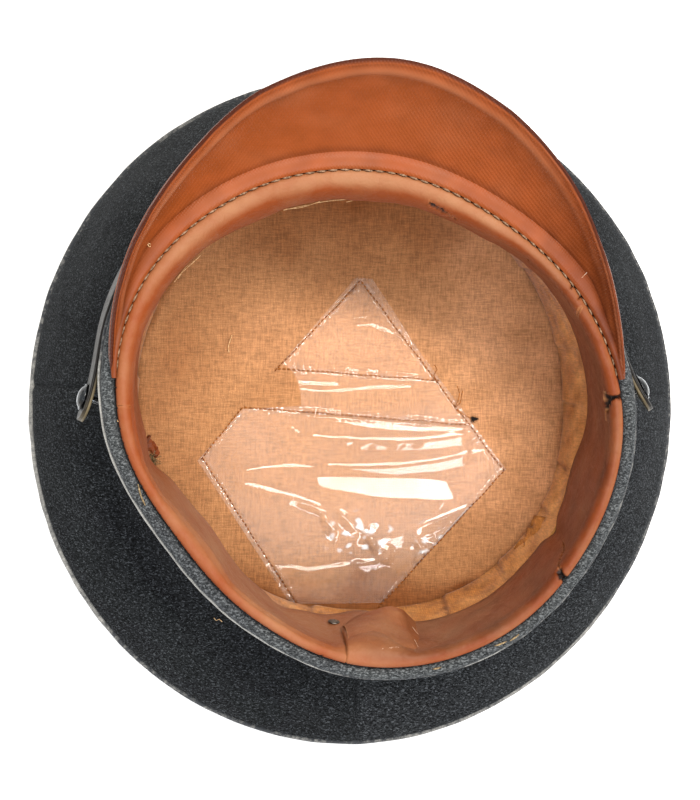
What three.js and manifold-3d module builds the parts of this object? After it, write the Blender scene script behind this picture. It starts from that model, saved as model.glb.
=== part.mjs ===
// A peaked service cap that lies upside down on its crown: the head opening looks up (+Z) and the visor points
// along +Y. "Left" is -X and "right" is +X, as seen by someone who looks down into the cap over its back.
// Sizes are in millimetres and angles in degrees.

import * as THREE from 'three';
import { mergeVertices } from 'three/addons/utils/BufferGeometryUtils.js';
import Module from 'manifold-3d';

const wasm = await Module();
wasm.setup();

// ---------------------------------------------------------------- driving sizes

const STATIONS = 48;            // cross sections in a ring that goes all the way round
const PANEL_STEP = 7.5;         // widest step between the cross sections of a piece that goes part of the way
const SEAT = 0.3;               // clearance between two pieces that are sewn or laid together

const CLOTH = 2;                // melton wool
const LEATHER = 1.5;
const LINING = 1.2;             // cotton with its backing
const FILM = 0.6;

const BAND_CENTRE = new THREE.Vector3(-2.9, -5.1, 82);   // middle of the mouth
const BAND_TILT = 9;            // the mouth leans back: its front is higher
const BAND_HEIGHT = 44.8;
const LINING_CENTRE = new THREE.Vector3(-1, 5, 0);

const CROWN_PIPING = 1.5;       // piping radii
const BAND_PIPING = 1;

const VISOR_FROM = 11;          // where the visor's tips lie on the mouth
const VISOR_TO = 169;
const VISOR_SLOPE = 0.306;      // rise of the visor's edge above the mouth for each mm that it reaches forward
const VISOR_THICK = 2.2;
const VISOR_BEAD = 3.4;         // thickness of the bead along the visor's edge
const VISOR_BOWL = 2;           // how far the blade sags between its root and its edge

const STRAP_WIDTH = 14;
const STRAP_THICK = 2.8;        // two layers of leather
const STRAP_FROM = 2;           // angles of the strap's free ends on the band
const STRAP_TO = 180;
const BUTTON_RADIUS = 5.3;

// The outline every 30 degrees, counted from the right towards the visor. rim is the crown's edge, from the
// crown's centre; mouth is the band's outer edge and curl is how far the sweatband's free edge leans inwards
// from it, both from the band's centre; lining is the lining disc's edge, from its own centre.
const OUTLINE = [
  { at: 0, rim: 134.4, mouth: 99.7, curl: 9.7, lining: 89.5 },
  { at: 30, rim: 135.7, mouth: 96, curl: 9, lining: 90.5 },
  { at: 60, rim: 136.8, mouth: 94, curl: 14, lining: 92 },
  { at: 90, rim: 138.9, mouth: 98.4, curl: 18, lining: 93 },
  { at: 120, rim: 138.7, mouth: 102.4, curl: 18, lining: 93 },
  { at: 150, rim: 136.2, mouth: 103.8, curl: 15, lining: 92 },
  { at: 180, rim: 134.4, mouth: 97.6, curl: 13, lining: 91 },
  { at: 210, rim: 135.8, mouth: 88.4, curl: 12.5, lining: 89 },
  { at: 240, rim: 137.7, mouth: 90.3, curl: 10, lining: 90 },
  { at: 270, rim: 138.9, mouth: 97.6, curl: 10.5, lining: 89 },
  { at: 300, rim: 136.8, mouth: 101, curl: 8.5, lining: 92.5 },
  { at: 330, rim: 134.8, mouth: 100.2, curl: 9.5, lining: 92.5 },
];

// Places where the sweatband's free edge is pushed inwards (or, with a minus sign, outwards).
const SWEATBAND_FOLDS = [
  { at: 194, wide: 5, inwards: -3 },
  { at: 220, wide: 11, inwards: 2 },
  { at: 249, wide: 5, inwards: -2.5 },
  { at: 272, wide: 9, inwards: 6 },
  { at: 345, wide: 8, inwards: 2.5 },
];

// How far the visor's edge reaches past the band's outer edge.
const VISOR_EDGE = [
  { at: 10, reach: -5 },
  { at: 25, reach: -0.8 },
  { at: 40, reach: 6.3 },
  { at: 55, reach: 15.8 },
  { at: 70, reach: 23.5 },
  { at: 90, reach: 28.5 },
  { at: 110, reach: 22.3 },
  { at: 125, reach: 12.2 },
  { at: 140, reach: 3.8 },
  { at: 155, reach: -2.6 },
  { at: 170, reach: -6 },
];

// Side seams of the crown.
const SEAM_RIGHT = 3;
const SEAM_LEFT = 175.5;
const SEAM_BACK = 269.5;
const SEAM_GAP = 0.2;           // degrees, about 0.4 mm at the seam

// ---------------------------------------------------------------- outlines

const toRadians = (degrees) => THREE.MathUtils.degToRad(degrees);

// Smooth curve (Catmull-Rom) through four values, f of the way from b to c.
function smooth(a, b, c, d, f) {
  const slopeB = (c - a) / 2;
  const slopeC = (d - b) / 2;
  const bend = 3 * (c - b) - 2 * slopeB - slopeC;
  const twist = 2 * (b - c) + slopeB + slopeC;
  return b + f * (slopeB + f * (bend + f * twist));
}

// Value of a column of OUTLINE at any angle.
function outline(column, degrees) {
  const step = 360 / OUTLINE.length;
  const turns = (((degrees % 360) + 360) % 360) / step;
  const row = Math.floor(turns);
  const pick = (k) => OUTLINE[(row + k + OUTLINE.length) % OUTLINE.length][column];
  return smooth(pick(-1), pick(0), pick(1), pick(2), turns - row);
}

function visorReach(degrees) {
  const last = VISOR_EDGE.length - 1;
  const pick = (k) => VISOR_EDGE[THREE.MathUtils.clamp(k, 0, last)];
  let row = 0;
  while (row < last - 1 && VISOR_EDGE[row + 1].at <= degrees) {
    row += 1;
  }
  const f = (degrees - pick(row).at) / (pick(row + 1).at - pick(row).at);
  return smooth(pick(row - 1).reach, pick(row).reach, pick(row + 1).reach, pick(row + 2).reach, f);
}

const flat = (degrees) => new THREE.Vector3(Math.cos(toRadians(degrees)), Math.sin(toRadians(degrees)), 0);

// Point inside the crown's rim by inset, at height z.
function crownPoint(degrees, inset, z) {
  return flat(degrees).multiplyScalar(outline('rim', degrees) - inset).setZ(z);
}

// Point of the band: out is measured outwards from the mouth's outer edge, up from the mouth's plane.
const bandTurn = new THREE.Matrix4().makeRotationX(toRadians(BAND_TILT)).setPosition(BAND_CENTRE);

function bandPoint(degrees, out, up) {
  const point = flat(degrees).multiplyScalar(outline('mouth', degrees) + out).setZ(up);
  return point.applyMatrix4(bandTurn);
}

// Point of the lining disc's edge, beyond it by out, at height z.
function liningPoint(degrees, out, z) {
  return flat(degrees).multiplyScalar(outline('lining', degrees) + out).add(LINING_CENTRE).setZ(z);
}

const allRound = Array.from({ length: STATIONS }, (_, i) => i * 360 / STATIONS);

// Even steps from one angle to another, both included.
function between(from, to, step = PANEL_STEP) {
  const count = Math.ceil((to - from) / step);
  return Array.from({ length: count + 1 }, (_, i) => from + (to - from) * i / count);
}

// ---------------------------------------------------------------- solids from cross sections

function geometryOf(points, faces) {
  const geometry = new THREE.BufferGeometry();
  geometry.setAttribute('position', new THREE.Float32BufferAttribute(points.flatMap((p) => p.toArray()), 3));
  geometry.setIndex(volumeOf(points, faces) < 0 ? faces.map(([a, b, c]) => [a, c, b]).flat() : faces.flat());
  return geometry;
}

function volumeOf(points, faces) {
  return faces.reduce((sum, [a, b, c]) => {
    return sum + points[a].dot(new THREE.Vector3().crossVectors(points[b], points[c])) / 6;
  }, 0);
}

// Skin through a row of closed cross sections with the same number of points. A closed row joins its last
// section to its first. An open one has flat ends, whose points pair off across the wall: 0 with the last, and
// so on.
function loft(sections, closed) {
  const size = sections[0].length;
  const faces = [];
  const rows = closed ? sections.length : sections.length - 1;
  for (let i = 0; i < rows; i += 1) {
    const here = i * size;
    const next = ((i + 1) % sections.length) * size;
    for (let j = 0; j < size; j += 1) {
      const k = (j + 1) % size;
      faces.push([here + j, here + k, next + k], [here + j, next + k, next + j]);
    }
  }
  if (!closed) {
    const far = (sections.length - 1) * size;
    for (let j = 0; j < size / 2 - 1; j += 1) {
      const k = size - 1 - j;
      faces.push([j, k - 1, j + 1], [j, k, k - 1]);
      faces.push([far + j, far + j + 1, far + k - 1], [far + j, far + k - 1, far + k]);
    }
  }
  return geometryOf(sections.flat(), faces);
}

// A wall is a sheet of points, thickened both ways along its normal. rows[i][j] is point j of cross section i,
// and thick[j] the wall's thickness there.
function wall(rows, thick, closed) {
  const at = (i, j) => {
    const row = closed ? (i + rows.length) % rows.length : THREE.MathUtils.clamp(i, 0, rows.length - 1);
    return rows[row][THREE.MathUtils.clamp(j, 0, rows[0].length - 1)];
  };
  const sections = rows.map((row, i) => {
    const normals = row.map((_, j) => {
      const along = at(i + 1, j).clone().sub(at(i - 1, j));
      const across = at(i, j + 1).clone().sub(at(i, j - 1));
      return along.cross(across).normalize();
    });
    const side = (sign) => row.map((p, j) => p.clone().addScaledVector(normals[j], sign * thick[j] / 2));
    return [...side(1), ...side(-1).reverse()];
  });
  return loft(sections, closed);
}

// Round cord along a closed row of points.
const CORD_SIDES = 6;

function cordRing(pointAt, radius) {
  const sections = allRound.map((degrees) => Array.from({ length: CORD_SIDES }, (_, k) => {
    const turn = 2 * Math.PI * k / CORD_SIDES;
    return pointAt(degrees, radius * Math.cos(turn), radius * Math.sin(turn));
  }));
  return loft(sections, true);
}

// Flat plate inside a closed outline, from z = low to high. Its edge is cut back by bevel at both faces.
function plate(pointAt, low, high, bevel) {
  const rings = [
    { inset: bevel, z: low },
    { inset: 0, z: low + bevel },
    { inset: 0, z: high - bevel },
    { inset: bevel, z: high },
  ];
  const points = rings.flatMap(({ inset, z }) => allRound.map((degrees) => pointAt(degrees, inset, z)));
  const faces = [];
  const index = (ring, i) => ring * STATIONS + i % STATIONS;
  const centre = points.length;
  for (const z of [low, high]) {
    points.push(new THREE.Vector3(0, 0, z));
  }
  for (let i = 0; i < STATIONS; i += 1) {
    for (let ring = 0; ring < rings.length - 1; ring += 1) {
      faces.push([index(ring, i), index(ring, i + 1), index(ring + 1, i + 1)]);
      faces.push([index(ring, i), index(ring + 1, i + 1), index(ring + 1, i)]);
    }
    faces.push([centre, index(0, i + 1), index(0, i)]);
    faces.push([centre + 1, index(rings.length - 1, i), index(rings.length - 1, i + 1)]);
  }
  return geometryOf(points, faces);
}

// ---------------------------------------------------------------- crown

const CROWN_TOP_INSET = 2 * CROWN_PIPING + SEAT;
const CROWN_TOP_BEVEL = 0.4;
const CROWN_PIPING_HEIGHT = 1.9;      // centre of the piping above the floor
const SIDE_FOOT = { inset: 3.6, z: 4.2 };         // where a side panel starts, above the piping
const SIDE_HEAD = { out: -3.2, up: -46.4 };       // where it ends, under the band
const SIDE_BULGE = 2.5;               // how far the cloth bellies out
const SIDE_COLUMNS = 5;

function crownTop() {
  return plate((degrees, inset, z) => crownPoint(degrees, CROWN_TOP_INSET + inset, z), 0, CLOTH,
    CROWN_TOP_BEVEL);
}

function crownPiping() {
  return cordRing((degrees, out, up) => crownPoint(degrees, CROWN_PIPING - out, CROWN_PIPING_HEIGHT + up),
    CROWN_PIPING);
}

// Side panel between two seams: cloth drawn from the rim up and in to the band, with a slight belly.
function crownSide(from, to) {
  const rows = between(from + SEAM_GAP / 2, to - SEAM_GAP / 2).map((degrees) => {
    const foot = crownPoint(degrees, SIDE_FOOT.inset, SIDE_FOOT.z);
    const head = bandPoint(degrees, SIDE_HEAD.out, SIDE_HEAD.up);
    const rise = head.clone().sub(foot).normalize();
    const outwards = rise.clone().cross(flat(degrees + 90)).normalize();
    return Array.from({ length: SIDE_COLUMNS }, (_, j) => {
      const f = j / (SIDE_COLUMNS - 1);
      const belly = SIDE_BULGE * Math.sin(Math.PI * f);
      return foot.clone().lerp(head, f).addScaledVector(outwards, -belly);
    });
  });
  return wall(rows, Array(SIDE_COLUMNS).fill(CLOTH), false);
}

// ---------------------------------------------------------------- band

const BAND_WALL = 2.6;          // wool over a stiffener
const BAND_FACE = -(2 * BAND_PIPING + SEAT);      // outer face of the band

const HEM_INSIDE = -6.9;        // inner face of the hem
const LOWER_PIPING_UP = -3.4;   // centres of the two pipings, from the mouth's plane
const UPPER_PIPING_UP = -BAND_HEIGHT + 0.4;

// Cross section of the band: a straight wall with a rounded hem at the mouth.
const BAND_SECTION = [
  { out: BAND_FACE, up: -BAND_HEIGHT },
  { out: BAND_FACE, up: -24 },
  { out: BAND_FACE, up: -3 },
  { out: -2.9, up: -0.9 },
  { out: -4.6, up: -0.2 },
  { out: -6.2, up: -0.9 },
  { out: HEM_INSIDE, up: -2.6 },
  { out: HEM_INSIDE, up: -6 },
  { out: BAND_FACE - BAND_WALL, up: -9 },
  { out: BAND_FACE - BAND_WALL, up: -BAND_HEIGHT },
];

function band() {
  return loft(allRound.map((degrees) => BAND_SECTION.map(({ out, up }) => bandPoint(degrees, out, up))), true);
}

function bandPiping(height) {
  return cordRing((degrees, out, up) => bandPoint(degrees, out - BAND_PIPING, height + up), BAND_PIPING);
}

// ---------------------------------------------------------------- sweatband

const SWEATBAND_DEPTH = 42;
const SWEATBAND_ROLL = 4.2;     // thickness of the roll at the mouth, where the leather turns over
const SWEATBAND_TOP = { out: HEM_INSIDE - SEAT - SWEATBAND_ROLL / 2, up: -0.6 };
const SWEATBAND_SWEEP = 1.3;    // over 1, the leather hangs steeply below the roll and then leans in

// Rows of the roll, from its top: height above its centre, and how full it is there.
const ROLL_ROWS = [
  { up: 2.1, full: 0.5 },
  { up: 1.3, full: 0.85 },
  { up: 0, full: 1 },
  { up: -1.6, full: 0.85 },
];

// Rows of the leather below the roll, from the roll (0) to the free edge (1).
const LEATHER_ROWS = [0.1, 0.3, 0.55, 0.8, 1];

// How far the leather's free edge stands in from the mouth's outer edge.
function sweatbandCurl(degrees) {
  return SWEATBAND_FOLDS.reduce((sum, { at, wide, inwards }) => {
    const away = (((degrees - at) % 360) + 540) % 360 - 180;
    return sum + inwards * Math.exp(-((away / wide) ** 2));
  }, outline('curl', degrees));
}

// Point of the leather's middle surface: f runs from the roll (0) to the free edge (1), and inwards is an extra
// distance towards the cap's centre.
function sweatbandPoint(degrees, f, inwards = 0) {
  const edge = -sweatbandCurl(degrees) + LEATHER / 2;
  const out = THREE.MathUtils.lerp(SWEATBAND_TOP.out, edge, f ** SWEATBAND_SWEEP);
  const up = THREE.MathUtils.lerp(SWEATBAND_TOP.up, -SWEATBAND_DEPTH, f);
  return bandPoint(degrees, out - inwards, up);
}

function sweatband() {
  const rows = allRound.map((degrees) => [
    ...ROLL_ROWS.map(({ up }) => bandPoint(degrees, SWEATBAND_TOP.out, SWEATBAND_TOP.up + up)),
    ...LEATHER_ROWS.map((f) => sweatbandPoint(degrees, f)),
  ]);
  const thick = [...ROLL_ROWS.map(({ full }) => full * SWEATBAND_ROLL), ...LEATHER_ROWS.map(() => LEATHER)];
  return wall(rows, thick, true);
}

// Loose leather tab over the joint at the back. It lies on the sweatband and stands off it towards its edge.
const TAB_FROM = 265.5;
const TAB_TO = 283.5;
const TAB_STEP = 3;
const TAB_STAND_OFF = 3;
const TAB_ROWS = [0.2, 0.4, 0.6, 0.8, 0.95];       // from near the roll to near the free edge

function sweatbandTab() {
  const seat = LEATHER + 2 * SEAT;
  const rows = between(TAB_FROM, TAB_TO, TAB_STEP).map((degrees) => TAB_ROWS.map((f) => {
    return sweatbandPoint(degrees, f, seat + TAB_STAND_OFF * f * f);
  }));
  return wall(rows, Array(TAB_ROWS.length).fill(LEATHER), false);
}

// Domed head of a small rivet, flat side against the leather.
const RIVET_AT = 262.2;
const RIVET_ROW = 0.74;         // how far down the leather it sits
const RIVET_RADIUS = 2.2;
const RIVET_HEIGHT = 1.1;
const RIVET_RIM = 0.3;
const RIVET_SIDES = 12;

function sweatbandRivet() {
  const profile = [
    new THREE.Vector2(0, 0),
    new THREE.Vector2(RIVET_RADIUS, 0),
    new THREE.Vector2(RIVET_RADIUS, RIVET_RIM),
    new THREE.Vector2(RIVET_RADIUS * 0.7, RIVET_HEIGHT * 0.8),
    new THREE.Vector2(0, RIVET_HEIGHT),
  ];
  return new THREE.LatheGeometry(profile, RIVET_SIDES);
}

// ---------------------------------------------------------------- lining and sweat shield

const LINING_LOW = CLOTH + SEAT;
const LINING_HIGH = LINING_LOW + LINING;
const LINING_BEVEL = 0.3;
const PLEATS = 24;
const PLEAT_DEPTH = 0.8;
const LINING_HEAD = {           // where the cotton wall ends, inside the foot of the band
  out: BAND_FACE - BAND_WALL - 3 * SEAT - LINING / 2,
  up: -BAND_HEIGHT + 1.4,
};
const LINING_WALL_ROWS = [0, 0.3, 0.65, 1];

function liningTop() {
  return plate((degrees, inset, z) => liningPoint(degrees, -inset, z), LINING_LOW, LINING_HIGH,
    LINING_BEVEL);
}

// Cotton wall from the disc's edge up to the foot of the band, gathered in shallow pleats at its lower end.
function liningSide() {
  const halfPleats = Array.from({ length: 2 * PLEATS }, (_, i) => i);
  const rows = halfPleats.map((i) => LINING_WALL_ROWS.map((f) => {
    const degrees = i * 180 / PLEATS;
    const foot = liningPoint(degrees, SEAT + LINING, LINING_LOW + SEAT);
    const head = bandPoint(degrees, LINING_HEAD.out, LINING_HEAD.up);
    const pleat = (i % 2) * PLEAT_DEPTH * (1 - f);
    return foot.lerp(head, f).addScaledVector(flat(degrees), pleat);
  }));
  return wall(rows, LINING_WALL_ROWS.map(() => LINING), true);
}

// Outline of the film: a lozenge whose lower corner is cut off by the back edge of the lining, with a thumb
// notch where the pocket between its two cross seams opens to the left.
const SHIELD_TOP = new THREE.Vector2(1.5, 55);
const SHIELD_RIGHT = new THREE.Vector2(63, -25);
const SHIELD_LEFT = new THREE.Vector2(-66, -20.5);
const SHIELD_BACK = { right: 18, left: -28, y: -79.5 };
const NOTCH = {                 // from and to lie on the upper left edge; the curve bends at pull
  from: 0.47,
  to: 0.72,
  pull: new THREE.Vector2(-23.5, 16),
  deep: new THREE.Vector2(-23.5, 2),
};

const NOTCH_STEPS = 6;

function sweatShield() {
  const edge = (f) => SHIELD_TOP.clone().lerp(SHIELD_LEFT, f);
  const shape = new THREE.Shape();
  shape.moveTo(SHIELD_TOP.x, SHIELD_TOP.y);
  shape.lineTo(edge(NOTCH.from).x, edge(NOTCH.from).y);
  shape.quadraticCurveTo(NOTCH.pull.x, NOTCH.pull.y, NOTCH.deep.x, NOTCH.deep.y);
  shape.lineTo(edge(NOTCH.to).x, edge(NOTCH.to).y);
  shape.lineTo(SHIELD_LEFT.x, SHIELD_LEFT.y);
  shape.lineTo(SHIELD_BACK.left, SHIELD_BACK.y);
  shape.lineTo(SHIELD_BACK.right, SHIELD_BACK.y);
  shape.lineTo(SHIELD_RIGHT.x, SHIELD_RIGHT.y);
  shape.closePath();
  return new THREE.ExtrudeGeometry(shape, { depth: FILM, bevelEnabled: false, curveSegments: NOTCH_STEPS });
}

// ---------------------------------------------------------------- visor

const VISOR_STEP = 5.3;         // degrees
const FLANGE = { in: HEM_INSIDE + 0.2, out: -0.8, up: 1.5, lift: 0.35, edgeThick: 1.2 };
const FLANGE_SHARE = 0.6;       // most of the visor's width that the flange may take, near the tips
const RISE_IN_FRONT = 34;       // rise at which the blade has its full sag

// Rows of the blade, from the flange (0) to the edge (1), with the visor's thickness there.
const BLADE = [
  { f: 0.04, thick: VISOR_THICK },
  { f: 0.3, thick: VISOR_THICK },
  { f: 0.6, thick: VISOR_THICK },
  { f: 0.86, thick: VISOR_THICK },
  { f: 0.93, thick: VISOR_BEAD },
  { f: 1, thick: 1.6 },
];

// The visor's middle surface: a flange that lies on the hem, then the blade out to its edge. Towards the tips
// the blade runs out and only the flange is left.
function visor() {
  const tip = bandPoint(VISOR_FROM, visorReach(VISOR_FROM), 0);
  const rows = between(VISOR_FROM, VISOR_TO, VISOR_STEP).map((degrees) => {
    const reach = visorReach(degrees);
    const edgeOnMouth = bandPoint(degrees, reach, 0);
    const rise = VISOR_SLOPE * Math.max(0, edgeOnMouth.y - tip.y) + FLANGE.up;
    const turn = Math.min(FLANGE.out, THREE.MathUtils.lerp(FLANGE.in, reach, FLANGE_SHARE));
    const sag = (f) => VISOR_BOWL * Math.sin(Math.PI * f) * rise / RISE_IN_FRONT;
    const flange = [
      { out: FLANGE.in, up: FLANGE.up },
      { out: (FLANGE.in + turn) / 2, up: FLANGE.up + FLANGE.lift },
      { out: turn, up: FLANGE.up },
    ];
    const blade = BLADE.map(({ f }) => ({
      out: THREE.MathUtils.lerp(turn, reach, f) + sag(f),
      up: THREE.MathUtils.lerp(FLANGE.up, rise, f) - sag(f) / 2,
    }));
    return [...flange, ...blade].map(({ out, up }) => bandPoint(degrees, out, up));
  });
  const thick = [FLANGE.edgeThick, VISOR_THICK, VISOR_THICK, ...BLADE.map((row) => row.thick)];
  return wall(rows, thick, false);
}

// ---------------------------------------------------------------- chin strap and side buttons

const STRAP_GAP = 0.48;         // between the strap and the band
const STRAP_OUT = BAND_FACE + STRAP_GAP + STRAP_THICK / 2;
const STRAP_UP = -14;           // the strap's middle, below the mouth
const BUTTON_BACK = 4.5;        // degrees from a free end to its button
const HOLE_RADIUS = 1.7;
const SHANK_RADIUS = 1.2;
const FLARE_SWEEP = 2.4;        // over 1, the strap leaves the band gently and bends away towards its tip

// Each end of the strap leaves the band at an angle and stands off it at its tip.
const FLARES = [
  { tip: STRAP_FROM, degrees: 15, by: 7 },
  { tip: STRAP_TO, degrees: 16, by: 7.5 },
];

// Point of the strap's middle surface, up from its centre line.
function strapPoint(degrees, up) {
  const flare = FLARES.reduce((sum, { tip, degrees: length, by }) => {
    return sum + by * Math.max(0, 1 - Math.abs(degrees - tip) / length) ** FLARE_SWEEP;
  }, 0);
  return bandPoint(degrees, STRAP_OUT + flare, STRAP_UP + up);
}

// Place and outward direction of a side button on the strap.
function buttonSeat(degrees) {
  const along = strapPoint(degrees + 1, 0).sub(strapPoint(degrees - 1, 0));
  const across = strapPoint(degrees, 1).sub(strapPoint(degrees, -1));
  return { point: strapPoint(degrees, 0), outwards: along.cross(across).normalize() };
}

function solidOf(geometry) {
  const bare = geometry.clone();
  bare.deleteAttribute('normal');
  bare.deleteAttribute('uv');
  const merged = mergeVertices(bare);
  return new wasm.Manifold(new wasm.Mesh({
    numProp: 3,
    vertProperties: new Float32Array(merged.attributes.position.array),
    triVerts: new Uint32Array(merged.index.array),
  }));
}

function geometryFrom(solid) {
  const mesh = solid.getMesh();
  const geometry = new THREE.BufferGeometry();
  geometry.setAttribute('position', new THREE.BufferAttribute(mesh.vertProperties, 3));
  geometry.setIndex(new THREE.BufferAttribute(mesh.triVerts, 1));
  return geometry;
}

// The strap is one band of leather with round ends and a buttonhole near each of them.
const END_STEPS = [0, 0.6, 1.6, 3, 5, 7.5];        // degrees in from a free end
const ROUND_END = 4;            // degrees over which an end is rounded
const BLUNT = 0.3;              // degrees of that rounding cut off at the tip
const PUNCH_LENGTH = 3 * STRAP_THICK;
const PUNCH_SIDES = 12;

function chinStrap() {
  const ends = END_STEPS[END_STEPS.length - 1];
  const inner = between(STRAP_FROM + ends, STRAP_TO - ends).slice(1, -1);
  const angles = [...END_STEPS.map((step) => STRAP_FROM + step), ...inner,
    ...END_STEPS.map((step) => STRAP_TO - step).reverse()];
  const rows = angles.map((degrees) => {
    const fromEnd = Math.min(degrees - STRAP_FROM, STRAP_TO - degrees);
    const fullness = Math.sqrt(1 - Math.max(0, 1 - (fromEnd + BLUNT) / ROUND_END) ** 2);
    const half = fullness * STRAP_WIDTH / 2;
    return [-half, half].map((up) => strapPoint(degrees, up));
  });
  let strap = solidOf(wall(rows, [STRAP_THICK, STRAP_THICK], false));
  for (const degrees of [STRAP_FROM + BUTTON_BACK, STRAP_TO - BUTTON_BACK]) {
    const punch = new THREE.CylinderGeometry(HOLE_RADIUS, HOLE_RADIUS, PUNCH_LENGTH, PUNCH_SIDES);
    strap = strap.subtract(solidOf(placeOn(punch, buttonSeat(degrees))));
  }
  return geometryFrom(strap);
}

// Turns a shape that points along its own +Y so that it stands on a seat.
function placeOn(geometry, { point, outwards }) {
  const turn = new THREE.Quaternion().setFromUnitVectors(new THREE.Vector3(0, 1, 0), outwards);
  return geometry.applyQuaternion(turn).translate(point.x, point.y, point.z);
}

// Domed button with a shank that goes through the strap towards the band.
const BUTTON_DOME = 3.2;
const BUTTON_RIM = 0.6;
const BUTTON_SIDES = 20;
const SHANK_LENGTH = 4.2;       // from the strap's middle towards the band

function sideButton(degrees) {
  const back = STRAP_THICK / 2 + 2 * SEAT;
  const profile = [
    new THREE.Vector2(0, -SHANK_LENGTH),
    new THREE.Vector2(SHANK_RADIUS, -SHANK_LENGTH),
    new THREE.Vector2(SHANK_RADIUS, back),
    new THREE.Vector2(BUTTON_RADIUS, back),
    new THREE.Vector2(BUTTON_RADIUS, back + BUTTON_RIM),
    new THREE.Vector2(BUTTON_RADIUS * 0.88, back + BUTTON_DOME * 0.55),
    new THREE.Vector2(BUTTON_RADIUS * 0.55, back + BUTTON_DOME * 0.88),
    new THREE.Vector2(0, back + BUTTON_DOME),
  ];
  return placeOn(new THREE.LatheGeometry(profile, BUTTON_SIDES), buttonSeat(degrees));
}

// ---------------------------------------------------------------- materials and assembly

const cap = new THREE.Group();

function finish(color, roughness, metalness = 0) {
  return () => new THREE.MeshStandardMaterial({ color, roughness, metalness });
}

const FINISHES = {
  wool: finish(0x2e3034, 0.95),
  piping: finish(0xb9b6ae, 0.85),
  leather: finish(0xa75f38, 0.5),
  cotton: finish(0xc98b5c, 0.85),
  film: finish(0xf0c9a4, 0.15),
  visorBoard: finish(0xb56339, 0.45),
  strapLeather: finish(0x2a2622, 0.5),
  silver: finish(0xb8bcc0, 0.3, 1),
};

function add(name, geometry, material) {
  const mesh = new THREE.Mesh(geometry, FINISHES[material]());
  mesh.name = name;
  cap.add(mesh);
  return mesh;
}

add('crown_top', crownTop(), 'wool');
add('crown_piping', crownPiping(), 'piping');
add('crown_side_front', crownSide(SEAM_RIGHT, SEAM_LEFT), 'wool');
add('crown_side_back_left', crownSide(SEAM_LEFT, SEAM_BACK), 'wool');
add('crown_side_back_right', crownSide(SEAM_BACK, SEAM_RIGHT + 360), 'wool');
add('band', band(), 'wool');
add('band_lower_piping', bandPiping(LOWER_PIPING_UP), 'piping');
add('band_upper_piping', bandPiping(UPPER_PIPING_UP), 'piping');
add('sweatband', sweatband(), 'leather');
add('sweatband_back_tab', sweatbandTab(), 'leather');

const rivetFoot = sweatbandPoint(RIVET_AT, RIVET_ROW, LEATHER / 2 + 2 * SEAT);
const rivetInwards = bandPoint(RIVET_AT, -1, 0).sub(bandPoint(RIVET_AT, 0, 0)).normalize();
add('sweatband_rivet', placeOn(sweatbandRivet(), { point: rivetFoot, outwards: rivetInwards }), 'silver');

add('lining_top', liningTop(), 'cotton');
add('lining_side', liningSide(), 'cotton');
add('sweat_shield', sweatShield(), 'film').position.z = LINING_HIGH + SEAT;
add('visor', visor(), 'visorBoard');
add('chin_strap', chinStrap(), 'strapLeather');
add('side_button_left', sideButton(STRAP_TO - BUTTON_BACK), 'silver');
add('side_button_right', sideButton(STRAP_FROM + BUTTON_BACK), 'silver');

export default cap;
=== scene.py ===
# %% [markdown]
# # A visor cap, upside down on its crown
# The cap lies on its flat crown, with the head opening up and the visor pointing along +Y. So the inside
# shows: the leather sweatband, the cotton lining with its clear sweat shield, and the lining side of the
# visor. The CAD model gives each piece its place and size. Here every piece is built again, with the
# folds, seams, stitches and wear of the real one, and each finish starts from the real material.

# %% Load the frame
import math

import bpy
import numpy as np
from mathutils import Matrix, Vector
from mathutils.geometry import delaunay_2d_cdt


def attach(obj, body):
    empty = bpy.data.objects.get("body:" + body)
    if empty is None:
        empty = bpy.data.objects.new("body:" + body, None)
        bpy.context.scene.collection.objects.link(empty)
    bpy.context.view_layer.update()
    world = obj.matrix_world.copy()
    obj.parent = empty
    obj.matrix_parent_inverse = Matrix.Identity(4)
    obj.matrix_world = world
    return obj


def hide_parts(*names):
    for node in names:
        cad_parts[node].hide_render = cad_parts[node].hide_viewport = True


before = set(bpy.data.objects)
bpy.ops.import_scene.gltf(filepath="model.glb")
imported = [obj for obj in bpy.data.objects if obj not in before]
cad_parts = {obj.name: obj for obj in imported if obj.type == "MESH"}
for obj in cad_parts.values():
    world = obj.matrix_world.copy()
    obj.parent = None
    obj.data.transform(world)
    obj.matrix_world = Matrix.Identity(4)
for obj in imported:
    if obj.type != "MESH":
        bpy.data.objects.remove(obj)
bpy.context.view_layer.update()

# %% [markdown]
# ## The camera
# The cap is seen from nearly straight above, a little to one side, from about 60 cm. That near, the band
# hides part of the crown behind it and the far wall of the sweatband shows, so the place of the camera
# matters as much as where it points. The lens sees 31 degrees of height.

# %% Camera
MM = 0.001
VIEW_FROM = Vector((-64.4, 4.4, 600)) * MM
VIEW_TO = Vector((-7.4, 4.4, 45)) * MM
LENS_MM = 65.07

scene = bpy.context.scene
scene.view_settings.view_transform = "Standard"

camera = bpy.data.objects.new("camera", bpy.data.cameras.new("camera"))
scene.collection.objects.link(camera)
scene.camera = camera
camera.data.lens = LENS_MM
forward = (VIEW_TO - VIEW_FROM).normalized()
right = forward.cross(Vector((0, 1, 0))).normalized()
turned_to = Matrix((right, right.cross(forward), -forward)).transposed()
camera.matrix_world = Matrix.Translation(VIEW_FROM) @ turned_to.to_4x4()
print("camera looks down at", round(math.degrees(math.asin(-forward.z)), 1), "degrees")

# %% [markdown]
# ## How materials are written
# Colours are easiest to read as the hex values of a paint program, which are sRGB. Blender works in linear
# light, so one function turns hex into linear. A second function adds a shader node with its settings and
# links, so that each material below reads like a short recipe. Patterns are drawn at their real size: two
# more functions turn a spacing in millimetres into the scale of a noise and of a wave texture.

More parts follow.
